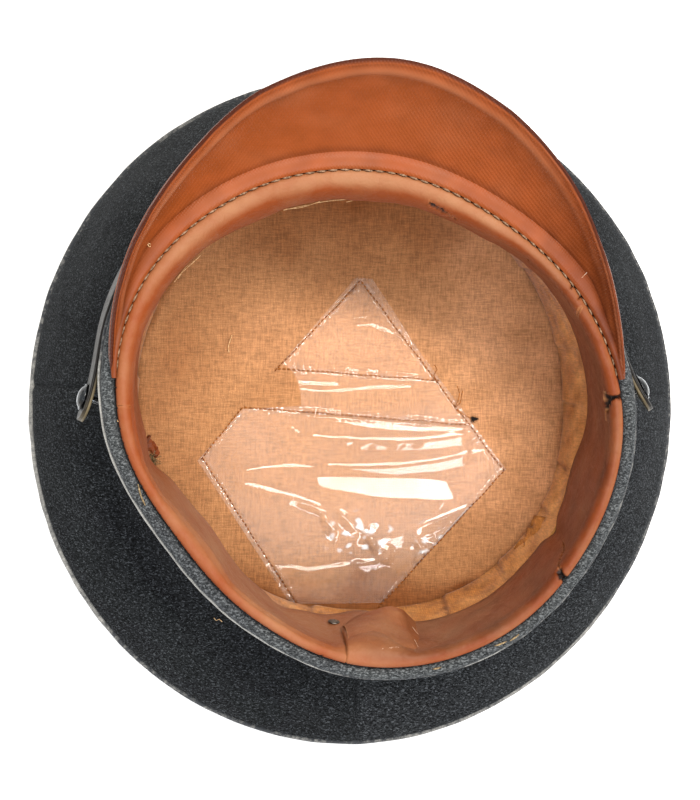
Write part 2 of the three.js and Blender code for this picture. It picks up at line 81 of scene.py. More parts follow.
# %% Colour and node helpers
def linear(hex_colour):
    """Linear RGBA of an sRGB colour such as 'c98b5c'."""
    channels = [int(hex_colour[i:i + 2], 16) / 255 for i in (0, 2, 4)]
    return (*[c / 12.92 if c <= 0.04045 else ((c + 0.055) / 1.055) ** 2.4 for c in channels], 1)


def node(material, kind, sockets=None, **settings):
    """Adds a shader node. settings are its options. sockets maps an input to a value, to an output of another
    node, or to that node, which stands for its first output."""
    made = material.node_tree.nodes.new("ShaderNode" + kind)
    for option, value in settings.items():
        setattr(made, option, value)
    for name, value in (sockets or {}).items():
        if isinstance(value, bpy.types.Node):
            value = value.outputs[0]
        if isinstance(value, bpy.types.NodeSocket):
            material.node_tree.links.new(value, made.inputs[name])
        else:
            made.inputs[name].default_value = value
    return made


def empty_material(name):
    """A material without any node."""
    material = bpy.data.materials.new(name)
    material.use_nodes = True
    material.node_tree.nodes.clear()
    return material


def grains(mm):
    """Scale of a noise or cell texture whose grains are about mm apart."""
    return 1 / (mm * MM)


def lines(mm):
    """Scale of a wave texture whose lines are mm apart. Its phase turns 20 times in one unit."""
    return 2 * math.pi / (20 * mm * MM)


print("c98b5c in linear light:", [round(c, 3) for c in linear("c98b5c")])

# %% [markdown]
# ## The studio
# The cap lies on white paper, under two long, narrow softboxes, one over its front and one over its back,
# with white walls all round that fill the shadows. Nothing bright hangs straight above, or the clear film
# would mirror it and hide the lining. So the film is clear where it lies flat and flashes only where it
# tilts. The paper is lit until it is plain white, which is how a shop shows a cap.

# %% Paper and lights
paper = empty_material("white_paper")
shader = node(paper, "BsdfPrincipled", {
    "Base Color": linear("f6f6f5"), "Roughness": 0.9, "Specular IOR Level": 0.1})
node(paper, "OutputMaterial", {"Surface": shader})

bpy.ops.mesh.primitive_plane_add(size=6, location=(0, 0, 0))
floor = bpy.context.object
floor.name = "floor"
floor.data.materials.append(paper)

SOFTBOX_SIZE = 0.90, 0.20       # metres
AIM = Vector((0, 0, 0.05))
LIGHTS = {                      # place in metres, power in watts, colour
    "key_softbox": dict(at=(0.16, 0.42, 1.10), power=17.0, colour="fffaf2"),
    "back_softbox": dict(at=(0.16, -0.52, 1.00), power=11.0, colour="fbfcff"),
}
for name, light in LIGHTS.items():
    lamp = bpy.data.lights.new(name, "AREA")
    lamp.shape, (lamp.size, lamp.size_y), lamp.energy = "RECTANGLE", SOFTBOX_SIZE, light["power"]
    lamp.color = linear(light["colour"])[:3]
    holder = bpy.data.objects.new(name, lamp)
    scene.collection.objects.link(holder)
    holder.location = light["at"]
    holder.rotation_euler = (AIM - Vector(light["at"])).to_track_quat("-Z", "Y").to_euler()

world = bpy.data.worlds.new("room")
scene.world = world
world.use_nodes = True
world.node_tree.nodes["Background"].inputs["Color"].default_value = linear("ffffff")
world.node_tree.nodes["Background"].inputs["Strength"].default_value = 0.80
print("lights:", ", ".join(LIGHTS))

# %% [markdown]
# ## Where things are
# A cap is drawn from a few closed curves: the crown's rim, the mouth of the band and the edge of the lining.
# None is a true circle. Worn caps go out of round, so each curve is a short table of radii, one every 30
# degrees from the right towards the visor, and a smooth curve runs through them. Points of the band are
# counted outwards from the mouth's edge and up from the mouth's plane, which leans back by 9 degrees.

# %% Outlines
RIM = [134.4, 135.7, 136.8, 138.9, 138.7, 136.2, 134.4, 135.8, 137.7, 138.9, 136.8, 134.8]
MOUTH = [99.7, 96.0, 94.0, 98.4, 102.4, 103.8, 97.6, 88.4, 90.3, 97.6, 101.0, 100.2]
CURL = [9.7, 9.0, 14.0, 18.0, 18.0, 15.0, 13.0, 12.5, 10.0, 10.5, 8.5, 9.5]      # lean of the sweatband
LINING = [89.5, 90.5, 92.0, 93.0, 93.0, 92.0, 91.0, 89.0, 90.0, 89.0, 92.5, 92.5]
BAND_CENTRE = np.array([-2.9, -5.1, 82.0])
BAND_TILT = math.radians(9)
LINING_CENTRE = np.array([-1.0, 5.0, 0.0])


def smooth_between(a, b, c, d, f):
    """A place on a smooth curve from b to c, at f from 0 to 1. a and d are the places beside them."""
    bend, twist = 3 * (c - b) - (c - a) - (d - b) / 2, 2 * (b - c) + (c - a + d - b) / 2
    return b + f * ((c - a) / 2 + f * (bend + f * twist))


def outline(radii, angle):
    """Radius at any angle in degrees, on a smooth curve through a table of radii."""
    turns = np.asarray(angle, float) % 360 * len(radii) / 360
    row = np.floor(turns).astype(int)
    a, b, c, d = (np.take(radii, row + k, mode="wrap") for k in (-1, 0, 1, 2))
    return smooth_between(a, b, c, d, turns - row)


def polar(angle, radius, z):
    """Points in mm from angles in degrees, radii and heights."""
    a, r, z = np.broadcast_arrays(np.radians(angle), radius, z)
    return np.stack([r * np.cos(a), r * np.sin(a), z], axis=-1)


def crown_point(angle, inset, z):
    return polar(angle, outline(RIM, angle) - inset, z)


def band_point(angle, out, up):
    x, y, z = np.moveaxis(polar(angle, outline(MOUTH, angle) + out, up), -1, 0)
    cos, sin = math.cos(BAND_TILT), math.sin(BAND_TILT)
    return np.stack([x, y * cos - z * sin, y * sin + z * cos], axis=-1) + BAND_CENTRE


def lining_point(angle, out, z):
    return polar(angle, outline(LINING, angle) + out, z) + LINING_CENTRE


for title, radii in (("crown", RIM), ("mouth", MOUTH), ("lining", LINING)):
    print(title, "is", round(np.mean(radii) * 2 * math.pi), "mm round")

# %% [markdown]
# ## From a grid of points to a piece
# Cloth and leather are sheets. Each is worked out as a grid of points on its middle surface, then given two
# faces and an edge. A UV map measured in metres goes on each piece, so that a weave or a grain can be drawn
# at its real size. A smooth random height gives the small unevenness that every sewn thing has.

# %% Grid, sheet and cord
CORD_SIDES = 10


def piece(name, points, faces, material, uv=None):
    """A named piece from points in mm and faces. It rides on the cap's one body."""
    mesh = bpy.data.meshes.new(name)
    mesh.from_pydata((np.asarray(points) * MM).tolist(), [], np.asarray(faces).tolist()
                     if isinstance(faces, np.ndarray) else faces)
    mesh.update()
    mesh.polygons.foreach_set("use_smooth", [True] * len(mesh.polygons))
    mesh.set_sharp_from_angle(angle=math.radians(48))
    if uv is not None:
        mesh.uv_layers.new(name="metres").data.foreach_set("uv", uv.ravel())
    mesh.materials.append(material)
    made = bpy.data.objects.new(name, mesh)
    scene.collection.objects.link(made)
    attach(made, "root")
    return made


def skin(name, grid, material, around=False, tube=False):
    """Covers a grid of points. around joins its last row to its first, tube each row's end to its start."""
    rows, columns = grid.shape[:2]
    i, j = np.meshgrid(np.arange(rows if around else rows - 1), np.arange(columns if tube else columns - 1),
                       indexing="ij")
    corners = [(i, j), (i, j + 1), (i + 1, j + 1), (i + 1, j)]
    quads = np.stack([(a % rows) * columns + b % columns for a, b in corners], axis=-1).reshape(-1, 4)
    step = np.linalg.norm(np.diff(np.concatenate([grid, grid[:1]]), axis=0), axis=2).mean(axis=1)
    across = np.linalg.norm(np.diff(np.concatenate([grid, grid[:, :1]], axis=1), axis=1), axis=2).mean(axis=0)
    far, wide = (np.concatenate([[0], np.cumsum(s)]) * MM for s in (step, across))
    uv = np.stack([np.stack([far[a], wide[b]], axis=-1) for a, b in corners], axis=-2).reshape(-1, 4, 2)
    points = grid.reshape(-1, 3)
    if tube and not around:     # shuts both ends, whose points pair off across the sheet
        k = np.arange(columns // 2 - 1)
        end = np.stack([k, columns - 1 - k, columns - 2 - k, k + 1], axis=-1)
        quads = np.concatenate([quads, end, end[:, ::-1] + (rows - 1) * columns])
        uv = np.concatenate([uv, np.zeros((2 * len(end), 4, 2))])
    a, b, c, d = (points[quads[:, k]] for k in range(4))
    if tube and np.einsum("ij,ij->", a, np.cross(b, c) + np.cross(c, d)) < 0:
        quads, uv = quads[:, ::-1], uv[:, ::-1]
    return piece(name, points, quads, material, uv)


def sheet_normals(middle, around):
    along = np.roll(middle, -1, 0) - np.roll(middle, 1, 0) if around else np.gradient(middle, axis=0)
    normal = np.cross(along, np.gradient(middle, axis=1))
    return normal / np.linalg.norm(normal, axis=2, keepdims=True)


def sheet(name, middle, thick, material, around=False):
    """Gives a sheet its two faces and its edge. thick is a number, or one for each point."""
    half = np.broadcast_to(thick, middle.shape[:2])[..., None] / 2 * sheet_normals(middle, around)
    grid = np.concatenate([middle + half, (middle - half)[:, ::-1]], axis=1)
    return skin(name, grid, material, around, tube=True)


def cord(name, centre, radius, material):
    """A round cord along a closed row of points."""
    along = np.roll(centre, -1, 0) - np.roll(centre, 1, 0)
    side = np.cross(along, [0, 0, 1.0])
    side /= np.linalg.norm(side, axis=1, keepdims=True)
    lift = np.cross(side, along)
    lift /= np.linalg.norm(lift, axis=1, keepdims=True)
    turn = np.linspace(0, 2 * math.pi, CORD_SIDES, endpoint=False)[None, :, None]
    ring = np.cos(turn) * side[:, None] + np.sin(turn) * lift[:, None]
    return skin(name, centre[:, None] + radius * ring, material, around=True, tube=True)


def wobble(points, size, seed):
    """A smooth random height, mostly between -1 and 1, with bumps about size mm apart."""
    draw = np.random.default_rng(seed)
    ways = draw.normal(size=(26, 3))
    ways *= 2 * math.pi / size * draw.uniform(0.6, 1.4, (26, 1)) / np.linalg.norm(ways, axis=1, keepdims=True)
    return np.sin(points @ ways.T + draw.uniform(0, 2 * math.pi, 26)).sum(axis=-1) / 6


def mark(made, name, values):
    """Writes a number to each point of a piece, for its material to read."""
    values = np.asarray(values, float).ravel()
    made.data.attributes.new(name, "FLOAT", "POINT").data.foreach_set("value", values)


def both_faces(values):
    """The same numbers for the two faces of a sheet."""
    return np.concatenate([values, values[:, ::-1]], axis=1)


def mark_sheet(made, name, values, most=1):
    """Marks both faces of a sheet: a number from 0 to most for each point of its middle surface."""
    mark(made, name, both_faces(np.clip(values, 0, most)))


def smoothstep(low, high, x):
    f = np.clip((x - low) / (high - low), 0, 1)
    return f * f * (3 - 2 * f)


def bump(x, centre, width):
    """A bell of height 1."""
    return np.exp(-((x - centre) / width) ** 2)


def apart(angle, centre):
    """Difference of two angles, from -180 to 180 degrees."""
    return (np.asarray(angle) - centre + 540) % 360 - 180


def distance_to(points, start, end):
    """Distance of points from a stretch of seam, and how far along it the nearest place is."""
    start, way = np.array(start, float), np.array(end, float) - np.array(start, float)
    far = np.clip((points - start) @ way / (way @ way), 0, 1)
    return np.linalg.norm(points - start - far[:, None] * way, axis=1), far * np.linalg.norm(way)


def area_of(middle, around=False):
    """Area in square metres of the middle surface of a sheet."""
    grid = np.concatenate([middle, middle[:1]]) if around else middle
    cross = np.cross(grid[1:, :-1] - grid[:-1, 1:], grid[1:, 1:] - grid[:-1, :-1])
    return float(np.linalg.norm(cross, axis=2).sum() / 2 * MM * MM)


def triangles(made):
    return sum(len(p.vertices) - 2 for p in made.data.polygons)


print("helpers ready; wobble of the origin:", round(float(wobble(np.zeros(3), 10, 1)), 2))

# %% [markdown]
# ## Melton wool
# The crown and the band are melton: a heavy wool, milled until its fibres felt together, then cropped. The
# weave has almost gone, but a short nap lies along it, so the cloth shows fine streaks. Dark grey melton is
# spun from black and pale fibres together: close up it is a salt-and-pepper mix and not one grey. It
# hardly shines, and its raised fibres catch light at the edges, which the sheen of the shader stands for.
# The real fibres are 0.02 mm thick; the streaks are drawn about 0.8 mm apart, so that they show.

# %% Melton material
STREAK_MM = 0.8


def melton(name, ground, pile, fleck, fleck_share, nap):
    """Cropped, felted wool. nap turns the streaks, in degrees from the cap's width."""
    wool = empty_material(name)
    place = node(wool, "TexCoord").outputs["Object"]
    lie = node(wool, "Mapping", {
        "Vector": place, "Rotation": (0, 0, math.radians(nap)), "Scale": (0.6, 1, 1)})
    streaks = node(wool, "TexNoise", {
        "Vector": lie, "Scale": grains(STREAK_MM), "Detail": 4, "Roughness": 0.7})
    fibres = node(wool, "TexNoise", {
        "Vector": lie, "Scale": grains(0.6), "Detail": 2, "Roughness": 0.6, "Distortion": 0.6})
    rub = node(wool, "TexNoise", {"Vector": place, "Scale": grains(30), "Detail": 3})
    salt = node(wool, "MapRange", {"Value": streaks, "From Min": 0.42, "From Max": 0.62})
    pale = node(wool, "MapRange", {
        "Value": fibres, "From Min": 0.70 - fleck_share, "From Max": 0.77 - fleck_share})
    worn = node(wool, "MapRange", {"Value": rub, "From Min": 0.35, "From Max": 0.7})
    cloth = node(wool, "MixRGB", {"Fac": salt, "Color1": linear(ground), "Color2": linear(pile)})
    flecked = node(wool, "MixRGB", {"Fac": pale, "Color1": cloth, "Color2": linear(fleck)})
    dusty = node(wool, "MixRGB", {
        "Fac": worn, "Color1": (0.86, 0.86, 0.88, 1), "Color2": (1.12, 1.12, 1.10, 1)})
    colour = node(wool, "MixRGB", {"Fac": 1, "Color1": flecked, "Color2": dusty}, blend_type="MULTIPLY")
    relief = node(wool, "Bump", {"Height": streaks, "Strength": 0.6, "Distance": 0.0005})
    shader = node(wool, "BsdfPrincipled", {
        "Base Color": colour, "Roughness": 0.95, "Specular IOR Level": 0.1, "Sheen Weight": 0.12,
        "Sheen Roughness": 0.45, "Sheen Tint": linear("8a8d92"), "Normal": relief})
    node(wool, "OutputMaterial", {"Surface": shader})
    return wool


crown_melton = melton("melton_wool_dark", "050606", "1f2123", "3f4245", 0.13, nap=0)
turned_melton = melton("melton_wool_cut_askew", "060708", "27292b", "484b4e", 0.13, nap=38)
band_melton = melton("melton_wool_rubbed", "1f2122", "404243", "5f6263", 0.18, nap=20)
print("melton streaks are", STREAK_MM, "mm apart")

# %% [markdown]
# ## The crown
# The crown is a flat round top and a side cut in three panels: one round the front and two at the back.
# They are sewn together inside out and turned, so each seam is a narrow groove with a soft ridge beside it.
# The side is drawn from the rim up and in to the foot of the band, and bellies out a little between them.
# Each panel is a ruled sheet from rim to band, with its belly, its seams and a few soft ripples added.

# %% Crown sides
CLOTH = 2.0                     # thickness of the wool, mm
SEAMS = {"right": 3.0, "left": 175.5, "back": 269.5}            # degrees
DENT_AT = 212


def crown_side(name, node_name, start, end, ripple_seed, material):
    """A side panel from one seam to the next, in degrees round the crown. Returns its middle surface."""
    angle = np.linspace(start + 0.08, end - 0.08, round((end - start) / 0.6))[:, None]
    f = np.linspace(0, 1, 44)[None, :]
    foot, head = crown_point(angle, 2.5, 4.1), band_point(angle, -3.2, -46.4)
    middle = foot + (head - foot) * f[..., None]
    out = -sheet_normals(middle, False)
    out *= np.sign((out * polar(angle, 1, 0)).sum(axis=-1).mean())
    to_seam = np.minimum(angle - start, end - angle) * 2.1          # mm along the cloth, near enough
    free = np.sin(math.pi * f)
    ripples = 0.45 * wobble(middle, 34, ripple_seed) + 0.12 * wobble(middle, 9, ripple_seed)
    height = 2.5 * free + free * ripples
    height = height - 0.9 * bump(to_seam, 0, 1.0) + 0.3 * bump(to_seam, 3.2, 1.6)
    to_dent = apart(angle, DENT_AT)                                 # pressed in once, at the back left
    height = height - 3.0 * bump(to_dent, 0, 20) * bump(f, 0.66 - 0.004 * to_dent, 0.13)
    middle = middle + height[..., None] * out
    thick = CLOTH * (0.6 + 0.4 * smoothstep(0, 2, np.minimum(to_seam, 44 * np.minimum(f, 1 - f))))
    made = sheet(name, middle, thick, material)
    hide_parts(node_name)
    return middle


right, left, back = SEAMS.values()
PANELS = [
    crown_side("front_side_panel", "crown_side_front", right, left, 3, crown_melton),
    crown_side("back_left_side_panel", "crown_side_back_left", left, back, 5, crown_melton),
    crown_side("back_right_side_panel", "crown_side_back_right", back, right + 360, 8, turned_melton)]

# %% [markdown]
# The top of the crown is a disc of the same wool. Its edge goes under the piping, and it lies flat on the
# table. Inside its stitched edge the cloth is a little slack, so its upper face has slight waves.

# %% Crown top
def disc(name, edge, low, high, rings, turns, material, lift):
    """A round sheet from z low to high inside an outline. lift gives the height of its ripples."""
    angle = np.linspace(0, 360, turns, endpoint=False)[:, None]
    f = np.linspace(0.0005, 1, rings)[None, :]
    rim, hub = edge(angle), np.array([*edge(angle)[:, 0, :2].mean(axis=0), 0])
    flat = hub + (rim - hub) * f[..., None]
    upper, lower = flat.copy(), flat[:, ::-1].copy()
    round_off = 0.45 * (high - low) * np.clip(1 - (1 - f) * 60, 0, 1)
    upper[..., 2] = high - round_off + lift(flat)
    lower[..., 2] = low + round_off[:, ::-1] + np.maximum(0, lift(flat[:, ::-1]))
    return skin(name, np.concatenate([upper, lower], axis=1), material, around=True, tube=True), flat


def slack(points):
    """Height of the waves in the crown's top, mm."""
    from_hub = np.hypot(points[..., 0], points[..., 1])
    return 0.12 * np.maximum(0, wobble(points, 16, 4)) * smoothstep(132, 126, from_hub)


crown_top, _ = disc("crown_top_cloth", lambda a: crown_point(a, 2.8, 0), 0, CLOTH,
                    40, 240, crown_melton, slack)
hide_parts("crown_top")
print("crown top:", triangles(crown_top), "triangles")

# %% [markdown]
# ## Pipings
# Each edge of the cap is finished with piping: a thin cord in a folded strip of pale cloth. The strip is
# woven, so it has very fine ribs across it. Years of dust and fluff sit on it, and in places the wool has
# swallowed it, so that only a thin pale line is left. A mark on the mesh says where that is.

# %% Piping material and pieces
def piping_cloth(name, clean, fluff):
    """Ribbed cotton. The mark "fluff" says where wool has worked its way over it."""
    cloth = empty_material(name)
    place = node(cloth, "TexCoord").outputs
    ribs = node(cloth, "TexWave", {
        "Vector": place["UV"], "Scale": lines(0.9), "Distortion": 3, "Detail": 3,
        "Detail Scale": 2}, bands_direction="X")
    dust = node(cloth, "TexNoise", {
        "Vector": place["Object"], "Scale": grains(2.2), "Detail": 5, "Roughness": 0.75})
    marked = node(cloth, "Attribute", attribute_name="fluff")
    soiled = node(cloth, "MapRange", {
        "Value": dust, "From Min": 0.35, "From Max": 0.65, "To Min": -0.35, "To Max": 0.35})
    covered = node(cloth, "Math", {0: marked.outputs["Fac"], 1: soiled}, operation="ADD", use_clamp=True)
    thread = node(cloth, "MapRange", {"Value": ribs, "To Min": 0.86, "To Max": 1})
    ribbed = node(cloth, "VectorMath", {0: linear(clean)[:3], "Scale": thread}, operation="SCALE")
    colour = node(cloth, "MixRGB", {"Fac": covered, "Color1": ribbed, "Color2": linear(fluff)})
    relief = node(cloth, "Bump", {"Height": ribs, "Strength": 0.25, "Distance": 0.0002})
    shader = node(cloth, "BsdfPrincipled", {
        "Base Color": colour, "Roughness": 0.85, "Specular IOR Level": 0.2, "Sheen Weight": 0.1,
        "Normal": relief})
    node(cloth, "OutputMaterial", {"Surface": shader})
    return cloth


piping_cotton = piping_cloth("ribbed_piping_cotton", "a3a19b", "303235")
around = np.linspace(0, 360, 480, endpoint=False)


def piping(name, node_name, centre, radius, fluff):
    made = cord(name, centre + 0.12 * np.stack([wobble(centre, 14, s) for s in (21, 22, 23)], axis=-1),
                radius, piping_cotton)
    mark(made, "fluff", np.clip(np.repeat(fluff, CORD_SIDES), 0, 1))
    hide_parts(node_name)
    print(name, triangles(made), "triangles")


def clean_between(start, end, blend=6):
    """1 where the piping is free of wool, from an angle to an angle."""
    half = (end - start) / 2
    return smoothstep(half + blend, half - blend, abs(apart(around, start + half)))


patches = wobble(polar(around, 100, 0), 26, 24)
piping("crown_rim_piping", "crown_piping", crown_point(around, 1.4, 1.8), 1.25,
       0.95 - 0.5 * clean_between(168, 222) - 0.35 * clean_between(275, 320) + 0.10 * patches)
fluff = 0.92 - 0.95 * clean_between(168, 262) - 0.7 * clean_between(292, 301, 2)
fluff = fluff - 0.06 * clean_between(301, 365) + 0.08 * patches
piping("band_mouth_piping", "band_lower_piping", band_point(around, -1.15, -4.4), 0.50, fluff)
piping("band_foot_piping", "band_upper_piping", band_point(around, -1, -44.4), 0.95, 0.6 + 0.2 * patches)

# %% [markdown]
# ## The band
# The band is a strip of wool over a stiffener, turned in at the mouth over a soft roll, so that the wearer's
# forehead meets no edge. The turned edge is a little lumpy, paler than the crown because hands rub it, and
# its raw edge shows as a faint step on the right. It is one closed section carried round the mouth.

# %% Band
BAND_SECTION = np.array([       # out from the mouth's edge, up from the mouth's plane, mm
    (-2.3, -44.8), (-2.3, -38), (-2.3, -30), (-2.3, -22), (-2.25, -14), (-2.1, -9), (-1.8, -6.5), (-1.6, -5),
    (-1.5, -3.6), (-1.7, -2.4), (-2.2, -1.3), (-3.0, -0.6), (-3.8, -0.25), (-4.6, -0.2), (-5.4, -0.35),
    (-6.1, -0.85), (-6.6, -1.7), (-6.9, -2.8), (-6.9, -4.4), (-6.85, -6), (-6.2, -7.6), (-5.2, -8.8),
    (-4.9, -11), (-4.9, -16), (-4.9, -24), (-4.9, -34), (-4.9, -44.8)])


def finer(section, length):
    """A section with a point about every length mm."""
    steps = [np.linspace(a, b, max(2, round(np.hypot(*(b - a)) / length) + 1))[:-1]
             for a, b in zip(section, section[1:])]
    return np.concatenate([*steps, section[-1:]])


section = finer(BAND_SECTION, 1.1)
angle = around[:, None]
grid = band_point(angle, section[:, 0], section[:, 1])
on_roll = smoothstep(-10, -3, section[:, 1])[None, :]
lumps = 0.16 * wobble(grid, 11, 31) * on_roll + 0.12 * wobble(grid, 3.2, 32) * on_roll
raw_edge = bump(section[:, 0][None, :], -3.5 + 0.5 * wobble(grid[:, :1], 30, 33), 0.35)
raw_edge = raw_edge * smoothstep(-2, -1, section[:, 1])[None, :] * smoothstep(70, 20, abs(apart(angle, 320)))
height = (lumps + 0.5 * raw_edge)[..., None]
to_middle = band_point(angle, -4.6, -3.0) - grid
to_middle /= np.linalg.norm(to_middle, axis=2, keepdims=True)
grid = grid - height * to_middle * on_roll[..., None]
band = skin("wool_band", grid, band_melton, around=True, tube=True)
on_top = section[:, 1] > -9
RING = grid[:, on_top], -to_middle[:, on_top]
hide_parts("band")
print("band:", triangles(band), "triangles, section", round(float(np.ptp(BAND_SECTION[:, 0])), 1), "mm wide")

# %% [markdown]
# ## Sweatband leather
# A sweatband is a strip of thin sheepskin, tanned with bark and finished on a roller, which leaves it smooth,
# a warm tan, and with the fine pores of the grain. Sweat and oil darken it where it is touched, the fold at
# the top rubs pale and pinkish, and dry leather cracks and shows its pale raw inside. So the colour mixes
# four tones by three marks that the mesh carries: one for wear, which also paints highlights on the roll, one
# for dirt, which also paints shade into gaps, slits and the right side, and one for torn places. The pores
# are about 0.5 mm apart and are drawn at 0.8 mm. Oiled leather has a soft gloss, a roughness near 0.5 that
# the creases break up.

# %% Leather material
def tanned_leather(name, tan, rubbed_and_highlight, dark, pore_mm, roughness):
    """Grain leather: its tone, its rubbed places and painted highlights, and its dirt and painted shade."""
    leather = empty_material(name)
    place = node(leather, "TexCoord").outputs["Object"]
    pores = node(leather, "TexVoronoi", {
        "Vector": place, "Scale": grains(pore_mm), "Randomness": 1}, feature="SMOOTH_F1")
    creases = node(leather, "TexNoise", {
        "Vector": place, "Scale": grains(4), "Detail": 6, "Roughness": 0.62, "Distortion": 0.8})
    mottle = node(leather, "TexNoise", {"Vector": place, "Scale": grains(16), "Detail": 5, "Roughness": 0.6})
    wear_and_highlight = node(leather, "Attribute", attribute_name="wear_and_highlight")
    dirt_and_shade = node(leather, "Attribute", attribute_name="dirt_and_shade")
    uneven = node(leather, "MapRange", {
        "Value": mottle, "From Min": 0.3, "From Max": 0.7, "To Min": -0.32, "To Max": 0.32})
    worn = node(leather, "Math", {0: wear_and_highlight.outputs["Fac"], 1: uneven}, operation="ADD", use_clamp=True)
    soiled = node(leather, "MapRange", {
        "Value": creases, "From Min": 0.2, "From Max": 0.8, "To Min": 0.7, "To Max": 1.3})
    # The dirt mark also holds painted shade: it darkens gaps, slits and the right side towards the dark tone.
    dirt = node(leather, "Math", {0: dirt_and_shade.outputs["Fac"], 1: soiled}, operation="MULTIPLY", use_clamp=True)
    skin_tone = node(leather, "MixRGB", {"Fac": worn, "Color1": linear(tan), "Color2": linear(rubbed_and_highlight)})
    colour = node(leather, "MixRGB", {"Fac": dirt, "Color1": skin_tone, "Color2": linear(dark)})
    torn = node(leather, "Attribute", attribute_name="torn")
    raw = node(leather, "MixRGB", {"Fac": torn.outputs["Fac"], "Color1": colour, "Color2": linear("b98555")})
    gloss = node(leather, "MapRange", {
        "Value": creases, "From Min": 0.3, "From Max": 0.7, "To Min": roughness - 0.08,
        "To Max": roughness + 0.10})
    fine = node(leather, "Bump", {"Height": pores.outputs["Distance"], "Strength": 0.22, "Distance": 0.0003})
    relief = node(leather, "Bump", {"Height": creases, "Strength": 0.42, "Distance": 0.0009, "Normal": fine})
    shader = node(leather, "BsdfPrincipled", {
        "Base Color": raw, "Roughness": gloss, "IOR": 1.5, "Specular IOR Level": 0.22, "Normal": relief})
    node(leather, "OutputMaterial", {"Surface": shader})
    return leather


PORE_MM = 0.8
sheepskin = tanned_leather("bark_tanned_sheepskin", "7c3811", "90603f", "100603", PORE_MM, 0.54)
print("leather pores drawn", PORE_MM, "mm apart")

# %% [markdown]
# ## The sweatband
# The strip is sewn into the mouth and turned over, so from above it starts as a soft roll beside the band
# and then hangs down inside the cap. Its free lower edge leans in towards the lining, more at the front
# than at the back, and is pushed about in a few places. Where it leans in far, the roll is a wide, easy
# curve; where it hangs straight, the roll is tight. Ripples, short creases, a step at the joint and a few
# cuts with curled lips are added on top, because dry sheepskin tears where it is stretched over a fold.

# %% Sweatband shape
SKIN = 1.2                      # thickness of the leather, mm
ROLL = dict(out=-9.45, up=-0.4, radius=1.7, turn=math.radians(82))
POINTS = dict(seam=4, outside=5, over=18, hanging=26)           # points of the section's four stretches
SWEATBAND_DEPTH = 42
FOLDS = [       # where the free edge is pushed: angle and width in degrees, and mm inwards
    (194, 5, -3.0), (220, 11, 2.0), (249, 5, -2.5), (272, 9, 6.0), (327.5, 2.6, -2.6), (345, 8, 2.5)]
# A cut's path over the roll is its angles, and mm from the roll's outer foot. wide is half its width, mm.
CUTS = [
    dict(path=[(7.2, -1.5), (6.9, 2.5), (6.6, 6.2)], wide=1.25, lip=0.0),
    dict(path=[(6.6, 7.4), (4.6, 8.2)], wide=2.4, lip=0.0),
    dict(path=[(4.6, 8.2), (3.4, 8.8)], wide=1.2, lip=0.1),
    dict(path=[(264.6, -0.8), (264.5, 3.5), (264.3, 8)], wide=0.36, lip=0.08),
    dict(path=[(7.8, 10.4), (5.2, 11.2), (1.0, 11.0)], wide=0.22, lip=0.35),
    dict(path=[(321.6, -0.4), (322.1, 4.2)], wide=1.5, lip=0.0),
    dict(path=[(322.1, 3.6), (324.3, 9.5), (326.5, 14), (327.6, 24)], wide=0.42, lip=0.12),
    dict(path=[(174.9, 0.4), (175.2, 5.0)], wide=0.20, lip=0.10),
    dict(path=[(76.9, 6.0), (76.7, 8.2)], wide=0.30, lip=0.10),
    dict(path=[(76.5, 7.9), (72, 9.3)], wide=1.0, lip=0),
    dict(path=[(72, 9.3), (69, 10.2)], wide=0.5, lip=0.12),
    dict(path=[(36.2, -1.0), (35.6, 1.8)], wide=0.62, lip=0),
    dict(path=[(32.9, -1.0), (32.4, 1.6)], wide=0.60, lip=0),
    dict(path=[(30.4, 3), (28.2, 6.5)], wide=0.20, lip=0.14),
    dict(path=[(258.2, -0.5), (258.6, 1.4)], wide=0.35, lip=0),
    dict(path=[(46.8, 12.5), (46.2, 15)], wide=0.7, lip=0)]
JOINT_AT = 264.6                # the ends of the strip overlap here, degrees
MM_PER_DEGREE = 1.72            # round the roll


def free_edge(angle):
    """How far the free edge stands in from the mouth's outer edge."""
    pushed = sum(inwards * bump(apart(angle, at), 0, wide) for at, wide, inwards in FOLDS)
    return outline(CURL, angle) + pushed


def leather_section(angle):
    """The strip's section at each angle: up the outside of the roll, over it in a wide curve, then down."""
    edge = free_edge(angle)
    reach = np.clip(edge - 11.6, 0.3, 6.4)
    rise = np.linspace(0, math.pi / 2, POINTS["outside"], endpoint=False)[None, :] + 0 * edge
    over = np.linspace(0, ROLL["turn"], POINTS["over"], endpoint=False)[None, :]
    wide, deep = ROLL["radius"] + reach, 3 + 1.5 * reach
    top = ROLL["up"] + ROLL["radius"]
    end_out = ROLL["out"] - wide * math.sin(ROLL["turn"])
    end_up = top - deep * (1 - math.cos(ROLL["turn"]))
    f = np.linspace(0, 1, POINTS["hanging"])[None, :]
    seam_out = np.full(POINTS["seam"], -7.75) + 0 * edge
    seam_up = np.array([-6, -4.5, -3, -1.6]) + 0 * edge
    out = np.concatenate([seam_out, ROLL["out"] + ROLL["radius"] * np.cos(rise),
                          ROLL["out"] - wide * np.sin(over), end_out + (0.75 - edge - end_out) * f], axis=1)
    up = np.concatenate([seam_up, ROLL["up"] + ROLL["radius"] * np.sin(rise),
                         top - deep * (1 - np.cos(over)), end_up + (-SWEATBAND_DEPTH - end_up) * f], axis=1)
    return out, up


